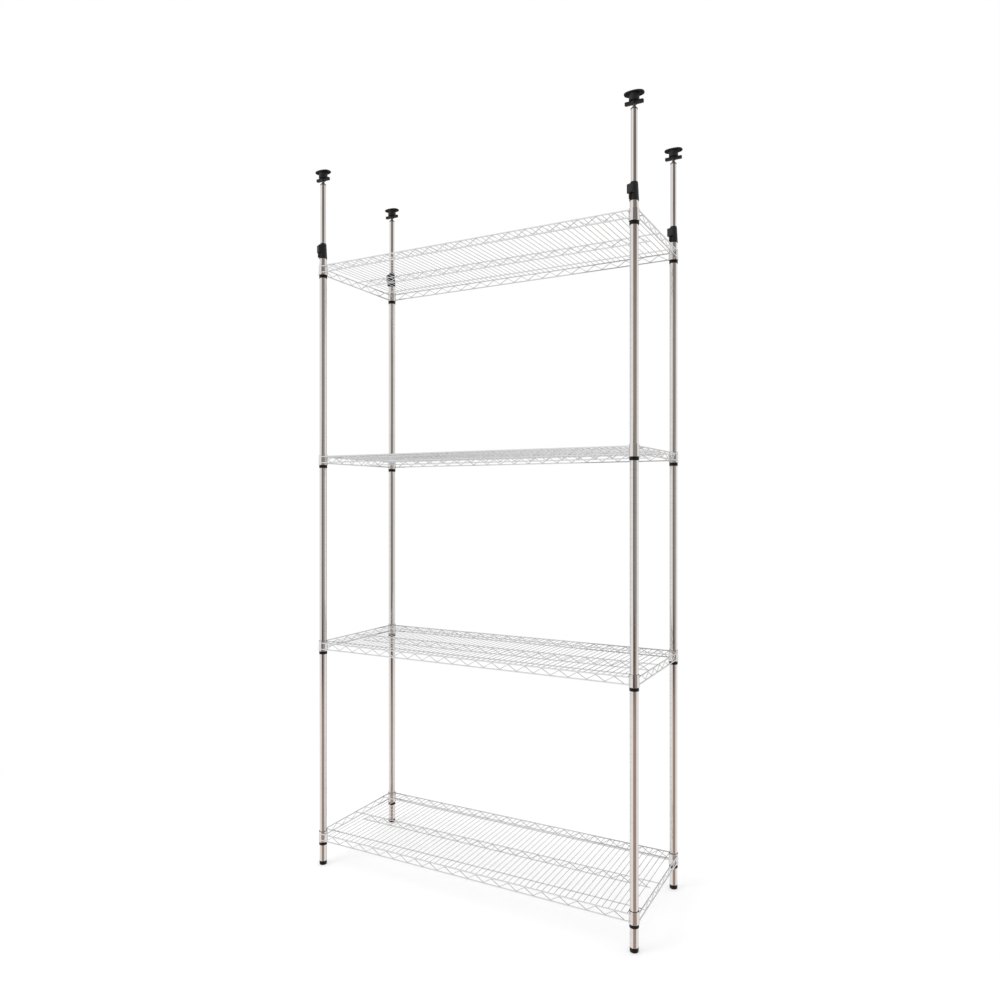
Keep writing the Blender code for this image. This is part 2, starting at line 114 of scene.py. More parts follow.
def add(tree: NodeTree, kind: str, inputs: Inputs = {}, **settings: Any) -> Node:
    """Add one node with its settings and links.

    Args:
        tree: Tree that takes the node.
        kind: Type of the node, without its family.
        inputs: For each input, a value, a socket, a node whose first output is meant, or a list of these.
        settings: Attributes of the node.

    Returns:
        The new node.
    """
    node = tree.nodes.new(next(name + kind for name in NODE_FAMILIES if hasattr(bpy.types, name + kind)))
    for name, value in settings.items():
        setattr(node, name, value)
    for key, value in inputs.items():
        for item in value if isinstance(value, list) else [value]:
            if isinstance(item, Node):
                item = item.outputs[0]
            if isinstance(item, NodeSocket):
                tree.links.new(item, node.inputs[key])
            else:
                node.inputs[key].default_value = item
    return node


def maths(tree: NodeTree, operation: str, *values: Any) -> Node:
    """Add a Math node for one to three values."""
    return add(tree, "Math", dict(enumerate(values)), operation=operation)


def faded(tree: NodeTree, value: Any, none: float, full: float, least: float = 0.0) -> Node:
    """Add a smooth rise from the least to one while a value goes from none to full."""
    span = {"Value": value, "From Min": none, "From Max": full, "To Min": least}
    return add(tree, "MapRange", span, interpolation_type="SMOOTHSTEP")


def mixed(tree: NodeTree, amount: Any, first: Any, second: Any) -> NodeSocket:
    """Add a mix of two colours."""
    return add(tree, "Mix", {0: amount, 6: first, 7: second}, data_type="RGBA").outputs[2]


def noise(tree: NodeTree, place: Any, scale: float, detail: float) -> Node:
    """Add a noise."""
    return add(tree, "TexNoise", {"Vector": place, "Scale": scale, "Detail": detail})


@dataclass(frozen=True)
class Coat:
    """A material and the record's slot that it stands for."""

    material: Material
    slot: Slot


def empty_material(name: str) -> Material:
    """Make a material with nothing in its tree.

    Args:
        name: Name of the material.

    Returns:
        The new material.
    """
    material = bpy.data.materials.new(name)
    material.use_nodes = True
    material.node_tree.nodes.clear()
    return material


@dataclass(frozen=True)
class Finish:
    """What the finishes share: two shades that drift in patches, a span of gloss and fine marks in relief.

    The gloss of a metal follows its patches, and that of a plastic its marks.
    """

    name: str
    shades: tuple[str, str]
    gloss: Point2
    patch: float
    detail: float
    relief: float
    depth: float
    slot: Slot
    specular: float = 0.5
    metal: bool = True
    gloss_span: Point2 = (0.3, 0.7)

    def marks(self, tree: NodeTree, place: NodeSocket) -> Node | NodeSocket:
        """Add the height of the marks."""
        raise NotImplementedError

    def coat(self) -> Coat:
        """Build the material and name its slot."""
        material = empty_material(self.name)
        tree = material.node_tree
        place = add(tree, "TexCoord").outputs["Object"]
        patches = noise(tree, place, 1 / self.patch, self.detail)
        marks = self.marks(tree, place)
        gloss = add(tree, "MapRange", {
            "Value": patches if self.metal else marks, "From Min": self.gloss_span[0],
            "From Max": self.gloss_span[1], "To Min": self.gloss[0], "To Max": self.gloss[1],
        })
        shader = add(tree, "BsdfPrincipled", {
            "Base Color": mixed(tree, patches, *map(linear, self.shades)),
            "Metallic": float(self.metal),
            "Roughness": gloss,
            "Specular IOR Level": self.specular,
            "Normal": add(tree, "Bump", {"Height": marks, "Strength": self.relief, "Distance": self.depth}),
        })
        add(tree, "OutputMaterial", {"Surface": shader})
        return Coat(material, self.slot)


@dataclass(frozen=True)
class ChromePlate(Finish):
    """Bright chrome over nickel on drawn and polished steel.

    It mirrors the room almost sharply in a grey below silver. Faint draw lines along the tube and a handling
    haze in patches keep the mirror from being perfect.
    """

    name: str = "bright_chrome_plate"
    shades: tuple[str, str] = ("#E0DDDA", "#D5D2CF")
    gloss: Point2 = (0.03, 0.08)
    patch: float = 35 * MM
    detail: float = 4.0
    relief: float = 0.5
    depth: float = 0.004 * MM
    slot: Slot = Slot.CHROME
    gloss_span: Point2 = (0.35, 0.7)
    # Real draw lines are about 0.1 mm apart; they are drawn coarser so that they show at all.
    draw_line: float = 1.2 * MM
    draw_length: float = 90 * MM

    def marks(self, tree: NodeTree, place: NodeSocket) -> Node:
        """Add lines along the tube."""
        scale = (1 / self.draw_line, 1 / self.draw_line, 1 / self.draw_length)
        return noise(tree, add(tree, "Mapping", {"Vector": place, "Scale": scale}), 1.0, MARK_DETAIL)


@dataclass(frozen=True)
class BlackNylon(Finish):
    """Injection-moulded black nylon with a spark-eroded mould grain.

    The grain breaks the sheen into a soft grey along the turned edges, and the colour drifts a little where the
    melt flowed.
    """

    name: str = "moulded_black_nylon"
    shades: tuple[str, str] = ("#0E0E0F", "#1A1A1A")
    gloss: Point2 = (0.42, 0.60)
    patch: float = 14 * MM
    detail: float = 5.0
    relief: float = 0.6
    depth: float = 0.05 * MM
    slot: Slot = Slot.NYLON
    specular: float = 0.40
    metal: bool = False
    # Mould grain is about 0.2 mm; it is drawn at 0.7 mm so that it shows in a close view.
    grain: float = 0.7 * MM

    def marks(self, tree: NodeTree, place: NodeSocket) -> Node:
        """Add the grain."""
        return noise(tree, place, 1 / self.grain, MARK_DETAIL)


@dataclass(frozen=True)
class ZincPlate(Finish):
    """Bright zinc plate with a clear passivate on turned steel.

    It is a darker, softer grey than chrome, with the faint blue and straw clouds of the passivate.
    """

    name: str = "passivated_zinc_plate"
    shades: tuple[str, str] = ("#6E7278", "#7A766E")
    gloss: Point2 = (0.20, 0.38)
    patch: float = 9 * MM
    detail: float = 3.0
    relief: float = 0.4
    depth: float = 0.02 * MM
    slot: Slot = Slot.ZINC
    # Turning marks are about 0.1 mm apart; they are drawn about 3 mm apart so that they show. The mark is the
    # length of one radian.
    mark: float = 0.5 * MM
    waver: float = 0.6

    def marks(self, tree: NodeTree, place: NodeSocket) -> NodeSocket:
        """Add rings along the axis."""
        wave = {"Vector": place, "Scale": 1 / (WAVE_RADIANS * self.mark), "Distortion": self.waver}
        return add(tree, "TexWave", wave, bands_direction="Z").outputs["Fac"]


@dataclass(frozen=True)
class Coats:
    """The finishes that the sub-assemblies share."""

    chrome: Coat
    wire: Coat
    weld: Coat
    nylon: Coat
    # A darker, less glossy copy of the black nylon: painted shade for the sleeves in the collars' recesses and for
    # the feet under the posts.
    shaded_nylon: Coat
    zinc: Coat


def eased(corners: Sequence[Point2], eases: float | Sizes, closed: bool = True, hold: float = 0.0) -> list[Point2]:
    """Round the corners of an outline.

    Args:
        corners: Corners in order.
        eases: How far each rounding reaches along its sides, one for all or one for each corner.
        closed: Whether the last corner meets the first; the ends of an open outline stay sharp.
        hold: Length of the strips beside a rounding that keep the sides' shading straight; none without one.

    Returns:
        The points of the rounded outline.
    """
    count = len(corners)
    points: list[Point2] = []
    for index, corner in enumerate(corners):
        reach = eases[index] if isinstance(eases, tuple) else eases
        if reach <= 0 or (not closed and index in (0, count - 1)):
            points.append(corner)
            continue
        here = Vector(corner)
        before = Vector(corners[index - 1]) - here
        after = Vector(corners[(index + 1) % count]) - here
        start, end = (
            here + side.normalized() * min(reach, EASE_SHARE * side.length) for side in (before, after)
        )
        curve = [
            start * (1 - part) ** 2 + here * 2 * part * (1 - part) + end * part ** 2
            for part in (step / EASE_STEPS for step in range(EASE_STEPS + 1))
        ]
        if hold and before.length > STRIP_ROOM * (reach + hold):
            curve.insert(0, curve[0] + before.normalized() * hold)
        if hold and after.length > STRIP_ROOM * (reach + hold):
            curve.append(curve[-1] + after.normalized() * hold)
        points.extend((point.x, point.y) for point in curve)
    return points


def oval(length: float, width: float, fullness: float) -> list[Point2]:
    """Outline of an oval about the origin.

    Args:
        length: Overall length along X.
        width: Overall width along Y.
        fullness: 2 for an ellipse, and more for one that is fuller towards the corners.

    Returns:
        Points in order.
    """
    points: list[Point2] = []
    for step in range(ROUND_SIDES):
        turn = math.tau * step / ROUND_SIDES
        x, y = (
            math.copysign(abs(share) ** (2 / fullness), share) for share in (math.cos(turn), math.sin(turn))
        )
        points.append((x * length / 2, y * width / 2))
    return points


def block(length: float, width: float) -> tuple[Point2, ...]:
    """Corners of a rectangle about the origin."""
    x, y = length / 2, width / 2
    return (x, y), (-x, y), (-x, -y), (x, -y)


def spun(radius: float, height: float, turn: float) -> Vector:
    """Point at a radius, height and turn about an upright axis."""
    return Vector((radius * math.cos(turn), radius * math.sin(turn), height))


def settled(work: bmesh.types.BMesh, mesh: Mesh) -> Mesh:
    """Merge doubles, close slivers, turn faces outwards and write the result.

    Args:
        work: Working mesh, which is freed.
        mesh: Mesh that takes the result.

    Returns:
        The mesh that was given.
    """
    bmesh.ops.remove_doubles(work, verts=work.verts, dist=SAME_POINT)
    bmesh.ops.holes_fill(work, edges=[edge for edge in work.edges if edge.is_boundary], sides=SLIVER_SIDES)
    bmesh.ops.recalc_face_normals(work, faces=work.faces)
    work.to_mesh(mesh)
    work.free()
    return mesh


class Stock:
    """A working mesh; each method that adds a form gives the stock back."""

    def __init__(self) -> None:
        """Start with nothing."""
        self.work = bmesh.new()

    def rows(self, sections: Iterable[Iterable[Vector]], joined: bool = False, capped: bool = True) -> "Stock":
        """Skin rings of points.

        Args:
            sections: Rings in order; one of a single point closes the skin to a pole.
            joined: Whether the last ring meets the first.
            capped: Whether the first and last ring are closed otherwise.

        Returns:
            This stock.
        """
        made = [[self.work.verts.new(point) for point in section] for section in sections]
        pairs = list(zip(made, made[1:]))
        if joined:
            pairs.append((made[-1], made[0]))
        elif capped:
            for row in (made[0], made[-1]):
                if len(row) > 2:
                    self.work.faces.new(row)
        for lower, upper in pairs:
            count = max(len(lower), len(upper))
            for index in range(count):
                after = (index + 1) % count
                corners = (
                    lower[index % len(lower)], lower[after % len(lower)],
                    upper[after % len(upper)], upper[index % len(upper)],
                )
                self.work.faces.new(list(dict.fromkeys(corners)))
        return self

    def turned(
        self, outline: Iterable[Point2], centre: Vector, closed: bool = False, capped: bool = True,
    ) -> "Stock":
        """Add a round form about a vertical axis.

        Args:
            outline: (radius, height) points; a radius of zero makes a pole.
            centre: Foot of the axis.
            closed: Whether the outline's end meets its start, as in a tube.
            capped: Whether the ends are closed otherwise.

        Returns:
            This stock.
        """
        turns = [math.tau * (step + 0.5) / ROUND_SIDES for step in range(ROUND_SIDES)]
        return self.rows([
            [centre + spun(radius, height, turn) for turn in (turns if radius > 0 else turns[:1])]
            for radius, height in outline
        ], closed, capped)

    def arc(self, outline: Sequence[Point2], centre: Vector, start: float, end: float) -> "Stock":
        """Add part of a round form, capped at both ends.

        Args:
            outline: Closed loop of (radius, height) points.
            centre: Foot of the axis.
            start: First turn in radians.
            end: Last turn in radians.

        Returns:
            This stock.
        """
        steps = ROUND_SIDES // 2
        turns = [start + (end - start) * step / steps for step in range(steps + 1)]
        return self.rows([[centre + spun(*point, turn) for point in outline] for turn in turns])

    def layered(self, layers: Iterable[tuple[Iterable[Point2], float]], centre: Vector) -> "Stock":
        """Add a form from level outlines, each with its height above the centre."""
        return self.rows([[centre + Vector((x, y, height)) for x, y in outline] for outline, height in layers])

    def plate(self, outline: Sequence[Point2], sides: Iterable[float], centre: Vector, rim: float) -> "Stock":
        """Add a plate that stands in the XZ plane, with chamfered rims.

        Args:
            outline: Convex (x, z) points in order.
            sides: Its two sides in Y.
            centre: Point that everything counts from.
            rim: Size of the chamfer round both sides.

        Returns:
            This stock.
        """
        low, high = sorted(sides)
        middle = sum((Vector(point) for point in outline), Vector((0, 0))) / len(outline)
        size = max((Vector(point) - middle).length for point in outline)
        shrunk = [middle + (Vector(point) - middle) * (1 - rim / size) for point in outline]
        layers = ((shrunk, low), (outline, low + rim), (outline, high - rim), (shrunk, high))
        return self.rows([[centre + Vector((x, y, z)) for x, z in points] for points, y in layers])

    def mesh(self, name: str) -> Mesh:
        """Finish the working mesh under a name."""
        return settled(self.work, bpy.data.meshes.new(name))


def lathe(
    name: str, corners: Sequence[Point2], eases: float | Sizes, centre: Vector, closed: bool = False,
) -> Mesh:
    """Mesh of one round form with eased edges about a vertical axis."""
    return Stock().turned(eased(corners, eases, closed), centre, closed).mesh(name)


def holding(name: str, data: ID) -> Object:
    """Put something into the scene.

    Args:
        name: Name of the object.
        data: Mesh, light or camera that it holds.

    Returns:
        The new object.
    """
    item = bpy.data.objects.new(name, data)
    bpy.context.scene.collection.objects.link(item)
    return item


def evaluated(name: str, holder: Object, helpers: Sequence[Object] = ()) -> Mesh:
    """Turn an object and its modifiers into a plain mesh and remove the object.

    Args:
        name: Name of the mesh.
        holder: Object with the modifiers.
        helpers: Objects that the modifiers use, which are removed as well.

    Returns:
        The plain mesh.
    """
    depsgraph = bpy.context.evaluated_depsgraph_get()
    result = bpy.data.meshes.new_from_object(holder.evaluated_get(depsgraph))
    result.name = name
    holder.modifiers.clear()
    for item in (holder, *helpers):
        bpy.data.objects.remove(item, do_unlink=True)
    work = bmesh.new()
    work.from_mesh(result)
    return settled(work, result)


def combined(name: str, base: Mesh, joined: Sequence[Mesh] = (), cut: Sequence[Mesh] = ()) -> Mesh:
    """Unite closed meshes and then cut others away.

    Args:
        name: Name of the result.
        base: Mesh to start from.
        joined: Meshes to unite with it.
        cut: Meshes to cut away afterwards.

    Returns:
        One closed mesh.
    """
    body = holding(name, base)
    helpers = []
    for operation, tools in (("UNION", joined), ("DIFFERENCE", cut)):
        for tool in tools:
            helpers.append(holding(tool.name, tool))
            step = body.modifiers.new(tool.name, "BOOLEAN")
            step.operation = operation
            step.solver = "EXACT"
            step.object = helpers[-1]
    return evaluated(name, body, helpers)


class NodeRecipe:
    """A Geometry Nodes tree with named sizes, turned into one plain mesh."""

    def __init__(self, name: str) -> None:
        """Start a tree.

        Args:
            name: Name of the tree and of its mesh.
        """
        self.name = name
        self.tree = bpy.data.node_groups.new(name, "GeometryNodeTree")
        for side in ("INPUT", "OUTPUT"):
            self.tree.interface.new_socket(name="Geometry", in_out=side, socket_type="NodeSocketGeometry")
        self.inlet = add(self.tree, "NodeGroupInput")
        self.values: dict[str, float | int | Sizes] = {}

    @property
    def base(self) -> NodeSocket:
        """The mesh that the tree is given."""
        return self.inlet.outputs["Geometry"]

    def size(self, label: str, value: float | int | Sizes) -> NodeSocket:
        """Add a named input.

        Args:
            label: Name of the input.
            value: Number or vector that the modifier gets.

        Returns:
            The socket that gives the value inside the tree.
        """
        kinds = {int: "NodeSocketInt", float: "NodeSocketFloat", tuple: "NodeSocketVector"}
        item = self.tree.interface.new_socket(name=label, in_out="INPUT", socket_type=kinds[type(value)])
        self.values[item.identifier] = value
        return self.inlet.outputs[label]

    def add(self, kind: str, inputs: Inputs = {}, **settings: Any) -> Node:
        """Add a node to this recipe's tree."""
        return add(self.tree, kind, inputs, **settings)

    def maths(self, operation: str, *values: Any) -> Node:
        """Add a Math node to this recipe's tree."""
        return maths(self.tree, operation, *values)

    def circle(self, sides: Any, radius: Any) -> Node:
        """Profile of a round wire."""
        return self.add("CurvePrimitiveCircle", {"Resolution": sides, "Radius": radius})

    def line(self, start: Sizes, end: Sizes) -> Node:
        """Straight path."""
        return self.add("CurvePrimitiveLine", {"Start": start, "End": end})

    def swept(self, path: Node, profile: Node) -> Node:
        """Capped wire along a path."""
        return self.add("CurveToMesh", {"Curve": path, "Profile Curve": profile, "Fill Caps": True})

    def joined(self, *shapes: Any) -> Node:
        """Several shapes as one."""
        return self.add("JoinGeometry", {"Geometry": list(shapes)})

    def moved(self, shape: Node, place: Sizes = (0.0, 0.0, 0.0), turn: Sizes = (0.0, 0.0, 0.0)) -> Node:
        """Shape that is turned and put in its place."""
        return self.add("Transform", {"Geometry": shape, "Translation": place, "Rotation": turn})

    def row(self, count: Any, first: Any, offset: Any) -> Node:
        """Points in a row."""
        return self.add("MeshLine", {"Count": count, "Start Location": first, "Offset": offset})

    def laid(self, points: Any, shape: Node, scale: Any = (1.0, 1.0, 1.0)) -> Node:
        """Shape on every point."""
        return self.add("InstanceOnPoints", {"Points": points, "Instance": shape, "Scale": scale})

    def bake(self, shape: Node, coat: Coat, base: Mesh | None = None) -> Mesh:
        """End the tree and turn its result into a plain mesh.

        Args:
            shape: Node whose first output is the shape.
            coat: Finish of the shape.
            base: Mesh that the tree is given, if it uses one.

        Returns:
            The plain mesh.
        """
        real = self.add("RealizeInstances", {"Geometry": shape})
        dressed = self.add("SetMaterial", {"Geometry": real, "Material": coat.material})
        self.add("NodeGroupOutput", {"Geometry": dressed})
        holder = holding(self.name, base or bpy.data.meshes.new(self.name))
        modifier = holder.modifiers.new(self.name, "NODES")
        modifier.node_group = self.tree
        for identifier, value in self.values.items():
            modifier[identifier] = value
        return evaluated(self.name, holder)


@dataclass(frozen=True)
class Ribs:
    """A row of round ribs that lie along Y."""

    label: str
    count: int
    radius: float
    length: float
    offset: Sizes

    def on(self, base: Mesh, first: Vector, coat: Coat) -> Mesh:
        """Join the ribs to a mesh.

        Args:
            base: Mesh that takes the ribs.
            first: Middle of the first rib.
            coat: Finish of the mesh.

        Returns:
            The mesh with its ribs.
        """
        recipe = NodeRecipe(f"{self.label.lower()}_row")
        rib = recipe.add("MeshCylinder", {
            "Vertices": RIB_SIDES,
            "Radius": recipe.size(f"{self.label} Radius", self.radius),
            "Depth": recipe.size(f"{self.label} Length", self.length),
        })
        points = recipe.row(
            recipe.size(f"{self.label}s", self.count), tuple(first), recipe.size(f"{self.label} Pitch", self.offset),
        )
        ribs = recipe.laid(points, recipe.moved(rib, turn=(QUARTER_TURN, 0.0, 0.0)))
        return recipe.bake(recipe.joined(recipe.base, ribs), coat, base)


def deliver(name: str, mesh: Mesh, coat: Coat, body: str, node: str) -> None:
    """Put a finished piece on its body in place of its CAD node.

    Args:
        name: Name of the piece.
        mesh: Its mesh, with its place in it.
        coat: Its finish.
        body: CAD body that it moves with.
        node: CAD node that it stands for.
    """
    mesh.name = name
    mesh.materials.clear()
    mesh.materials.append(coat.material)
    mesh.shade_smooth()
    mesh.set_sharp_from_angle(angle=SHARP_ABOVE)
    piece = holding(name, mesh)
    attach(piece, body)
    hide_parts(node)
    triangles = sum(len(face.vertices) - 2 for face in mesh.polygons)
    LOG.info("%s: %d triangles on %s for %s", name, triangles, body, node)


def axis_of(node: str) -> Vector:
    """Foot of a CAD node's upright axis: the middle of its box at its lowest level."""
    low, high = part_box(node)
    return Vector(((low.x + high.x) / 2, (low.y + high.y) / 2, low.z))


def on_post(corner: Corner, height: float) -> Vector:
    """Point of a post's axis at a height."""
    post = axis_of(f"post_{corner.value}")
    return Vector((post.x, post.y, height))


@dataclass
class Fitting:
    """A sub-assembly at one post, whose CAD nodes end in the corner's name."""

    corner: Corner
    coats: Coats

    def at(self, height: float) -> Vector:
        """Point of the post's axis at a height."""
        return on_post(self.corner, height)

    def span(self, kind: str) -> Point2:
        """Lowest level and height of a CAD node."""
        low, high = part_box(f"{kind}_{self.corner.value}")
        return low.z, high.z - low.z


@dataclass
class WireShelf:
    """One welded shelf: collars, edge trusses, rails, a middle truss, deck wires and their welds.

    Heights count from the lower edge of the sleeves that carry the shelf. The pieces are made about the middle of
    the posts and then moved there. Bead sizes are shares of the bead's radius.
    """

    number: int
    coats: Coats
    collar_foot: float = 11 * MM
    collar_top: float = 48 * MM
    countersink: float = 0.75 * MM
    foot_radius: float = 15.96 * MM
    top_radius: float = 14.81 * MM
    foot_bore: float = 14.36 * MM
    top_bore: float = 13.91 * MM
    rim_ease: float = 0.45 * MM
    chord_radius: float = 2.0 * MM
    chord_offset: float = 13.96 * MM
    top_chord: float = 40.9 * MM
    low_chord: float = 18.9 * MM
    rail_radius: float = 1.8 * MM
    rail_height: float = 37.8 * MM
    rail_inset: float = 51.3 * MM
    straight_sides: int = 16
    mid_chord: float = 17.3 * MM
    mid_reach: float = 566.75 * MM
    zigzag_radius: float = 1.3 * MM
    zigzag_sides: int = 10
    half_pitch: float = 29.25 * MM
    bend_reach: float = 5.0 * MM
    long_bends: int = 19
    side_bends: int = 6
    deck_radius: float = 1.0 * MM
    deck_sides: int = 12
    deck_pitch: float = 19.5 * MM
    deck_reach: int = 29
    weld_bite: float = 0.25 * MM
    bead_radius: float = 1.4 * MM
    bead_segments: int = 8
    bead_rings: int = 4
    deck_bead: float = 0.8
    chord_bead: float = 0.9
    rail_bead: float = 1.2
    collar_bead: float = 1.7

    def __post_init__(self) -> None:
        """Read the posts' places and the shelf's level from the frame."""
        self.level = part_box(f"sleeve_{self.number}_{Corner.FRONT_LEFT.value}")[0].z
        near = axis_of(f"post_{Corner.FRONT_LEFT.value}")
        far = axis_of(f"post_{Corner.REAR_RIGHT.value}")
        self.middle = Vector(((near.x + far.x) / 2, (near.y + far.y) / 2, 0))
        self.half_x = (far.x - near.x) / 2
        self.half_y = (far.y - near.y) / 2
        self.edge_x = self.half_x + self.chord_offset
        self.edge_y = self.half_y + self.chord_offset
        self.rail_lines = (self.rail_inset - self.edge_y, 0.0, self.edge_y - self.rail_inset)

    def round_posts(self, name: str, outline: Sequence[Point2], closed: bool = False) -> Mesh:
        """Make the same round form about every post.

        Args:
            name: Name of the mesh.
            outline: (radius, height) points of the form.
            closed: Whether the outline's end meets its start.

        Returns:
            One mesh with the four forms.
        """
        stock = Stock()
        for corner in Corner:
            stock.turned(outline, on_post(corner, self.level) - self.middle, closed)
        return stock.mesh(name)

    def build(self) -> None:
        """Make and dress every piece of the shelf."""
        for kind, mesh, coat in (
            ("corner_collars", self.collars(), self.coats.chrome),
            ("edge_and_rail_wires", self.straight_wires(), self.coats.wire),
            ("zigzag_wires", self.zigzags(), self.coats.wire),
            ("deck_wires", self.deck(), self.coats.wire),
            ("weld_beads", self.welds(), self.coats.weld),
        ):
            mesh.transform(Matrix.Translation(self.middle))
            deliver(f"{kind}_{self.number}", mesh, coat, "rack", f"shelf_{self.number}")

    def collars(self) -> Mesh:
        """Four tapered collars with rolled rims."""
        return self.round_posts("corner_collars", eased((
            (self.foot_bore, self.collar_foot),
            (self.foot_radius, self.collar_foot),
            (self.top_radius, self.collar_top),
            (self.top_bore + self.countersink, self.collar_top),
            (self.top_bore, self.collar_top - FLARE_SLOPE * self.countersink),
        ), self.rim_ease, hold=self.rim_ease), closed=True)

    def straight_wires(self) -> Mesh:
        """Chords cut to the collars' bores, and the rails between the side trusses."""
        slope = (self.foot_bore - self.top_bore) / (self.collar_top - self.collar_foot)
        margin = 0.5 * self.rim_ease
        bores = self.round_posts("collar_bores", (
            (self.foot_bore + margin + slope * self.collar_foot, 0.0),
            (self.top_bore + margin - slope * self.collar_foot, self.collar_top + self.collar_foot),
        ))
        chords = []
        for height in (self.level + self.top_chord, self.level + self.low_chord):
            for side in SIDES:
                chords.append([(end * self.half_x, side * self.edge_y, height) for end in SIDES])
                chords.append([(side * self.edge_x, end * self.half_y, height) for end in SIDES])
        rails = [[(end * self.edge_x, y, self.level + self.rail_height) for end in SIDES] for y in self.rail_lines]
        rails.append([(end * self.mid_reach, 0.0, self.level + self.mid_chord) for end in SIDES])
        recipe = NodeRecipe("straight_wires")
        sides = recipe.size("Wire Sides", self.straight_sides)
        groups = []
        for label, radius, wires in (("Chord", self.chord_radius, chords), ("Rail", self.rail_radius, rails)):
            paths = recipe.joined(*(recipe.line(start, end) for start, end in wires))
            groups.append(recipe.swept(paths, recipe.circle(sides, recipe.size(f"{label} Radius", radius))))
        trimmed = recipe.add(
            "MeshBoolean", {"Mesh 1": groups[0], "Mesh 2": recipe.base}, operation="DIFFERENCE", solver="EXACT",
        )
        return recipe.bake(recipe.joined(trimmed, groups[1]), self.coats.wire, bores)

    def trusses(self) -> list[tuple[int, float, float, Vector, float]]:
        """List the zigzag trusses.

        Returns:
            For each, its half count of bends, the lowest and highest level between its chords, its middle and
            its turn about Z.
        """
        low = self.low_chord + self.chord_radius
        high = self.top_chord - self.chord_radius
        found = []
        for side in SIDES:
            found.append((self.long_bends, low, high, Vector((0, side * self.edge_y, 0)), 0.0))
            found.append((self.side_bends, low, high, Vector((side * self.edge_x, 0, 0)), QUARTER_TURN))
        low, high = self.mid_chord + self.rail_radius, self.rail_height - self.rail_radius
        return [*found, (self.long_bends, low, high, ORIGIN, 0.0)]

    def zigzags(self) -> Mesh:
        """Bent wires between the chords of each truss, with an upper bend in the middle."""
        recipe = NodeRecipe("zigzag_wires")
        step = recipe.add("CombineXYZ", {"X": recipe.size("Half Pitch", self.half_pitch)})
        bend = recipe.size("Bend Radius", self.bend_reach)
        sides = recipe.size("Wire Sides", self.zigzag_sides)
        profile = recipe.circle(sides, recipe.size("Wire Radius", self.zigzag_radius))
        index = recipe.add("InputIndex")
        wires = []
        for bends, low, high, middle, turn in self.trusses():
            rise = (high - low) / 2 - self.zigzag_radius + self.weld_bite
            slope = math.atan2(2 * rise, self.half_pitch)
            sharp = rise + self.bend_reach * (1 / math.cos(slope) - 1)
            line = recipe.row(2 * bends + 1, (-bends * self.half_pitch, 0.0, 0.0), step)
            odd = recipe.maths("MODULO", recipe.maths("ADD", index, float(bends)), 2.0)
            lift = recipe.add("CombineXYZ", {"Z": recipe.maths("MULTIPLY_ADD", odd, -2 * sharp, sharp)})
            bent = recipe.add("SetPosition", {"Geometry": line, "Offset": lift})
            path = recipe.add("MeshToCurve", {"Mesh": bent})
            rounding = {"Curve": path, "Count": EASE_STEPS, "Radius": bend, "Limit Radius": True}
            wire = recipe.swept(recipe.add("FilletCurve", rounding, mode="POLY"), profile)
            place = (middle.x, middle.y, self.level + (low + high) / 2)
            wires.append(recipe.moved(wire, place, (0.0, 0.0, turn)))
        return recipe.bake(recipe.joined(*wires), self.coats.wire)

    def deck(self) -> Mesh:
        """Deck wires from the front chord to the rear chord, just over the rails."""
        recipe = NodeRecipe("deck_wires")
        sides = recipe.size("Wire Sides", self.deck_sides)
        profile = recipe.circle(sides, recipe.size("Wire Radius", self.deck_radius))
        wire = recipe.swept(recipe.line((0.0, -self.edge_y, 0.0), (0.0, self.edge_y, 0.0)), profile)
        first = (-self.deck_reach * self.deck_pitch, 0.0, self.level + self.top_chord)
        points = recipe.row(
            recipe.size("Wires", 2 * self.deck_reach + 1),
            recipe.size("First Wire", first),
            recipe.size("Pitch", (self.deck_pitch, 0.0, 0.0)),
        )
        return recipe.bake(recipe.laid(points, wire), self.coats.wire)

    def weld_points(self) -> list[tuple[Vector, float]]:
        """List the welds.

        Returns:
            Each weld's place and the size of its bead.
        """
        points: list[tuple[Sequence[float], float]] = []
        for index in range(-self.deck_reach, self.deck_reach + 1):
            x = index * self.deck_pitch
            points += [((x, y, self.rail_height + self.rail_radius), self.deck_bead) for y in self.rail_lines]
            edges = (side * (self.edge_y - self.chord_radius) for side in SIDES)
            points += [((x, y, self.top_chord), self.chord_bead) for y in edges]
        for bends, low, high, middle, turn in self.trusses():
            spin = Matrix.Rotation(turn, 3, "Z")
            for index in range(-bends, bends + 1):
                bend = Vector((index * self.half_pitch, 0, low if index % 2 else high))
                points.append((middle + spin @ bend, self.chord_bead))
        rail_end = self.top_chord - self.chord_radius
        points += [((x * self.edge_x, y, rail_end), self.rail_bead) for y in self.rail_lines for x in SIDES]
        inward = math.sqrt(self.foot_radius ** 2 - self.chord_offset ** 2)
        for height in (self.top_chord, self.low_chord):
            for x, y in QUARTERS:
                points.append(((x * (self.half_x - inward), y * self.edge_y, height), self.collar_bead))
                points.append(((x * self.edge_x, y * (self.half_y - inward), height), self.collar_bead))
        return [(Vector(point) + Vector((0, 0, self.level)), bead) for point, bead in points]

    def welds(self) -> Mesh:
        """A small bead at every weld."""
        places = bpy.data.meshes.new("weld_places")
        points = self.weld_points()
        places.from_pydata([point for point, _ in points], [], [])
        scale = places.attributes.new("bead", "FLOAT", "POINT")
        scale.data.foreach_set("value", [size for _, size in points])
        recipe = NodeRecipe("weld_beads")
        bead = recipe.add("MeshUVSphere", {
            "Segments": self.bead_segments, "Rings": self.bead_rings,
            "Radius": recipe.size("Bead Radius", self.bead_radius),
        })
        size = recipe.add("InputNamedAttribute", {"Name": "bead"}, data_type="FLOAT")
        return recipe.bake(recipe.laid(recipe.base, bead, size), self.coats.weld, places)


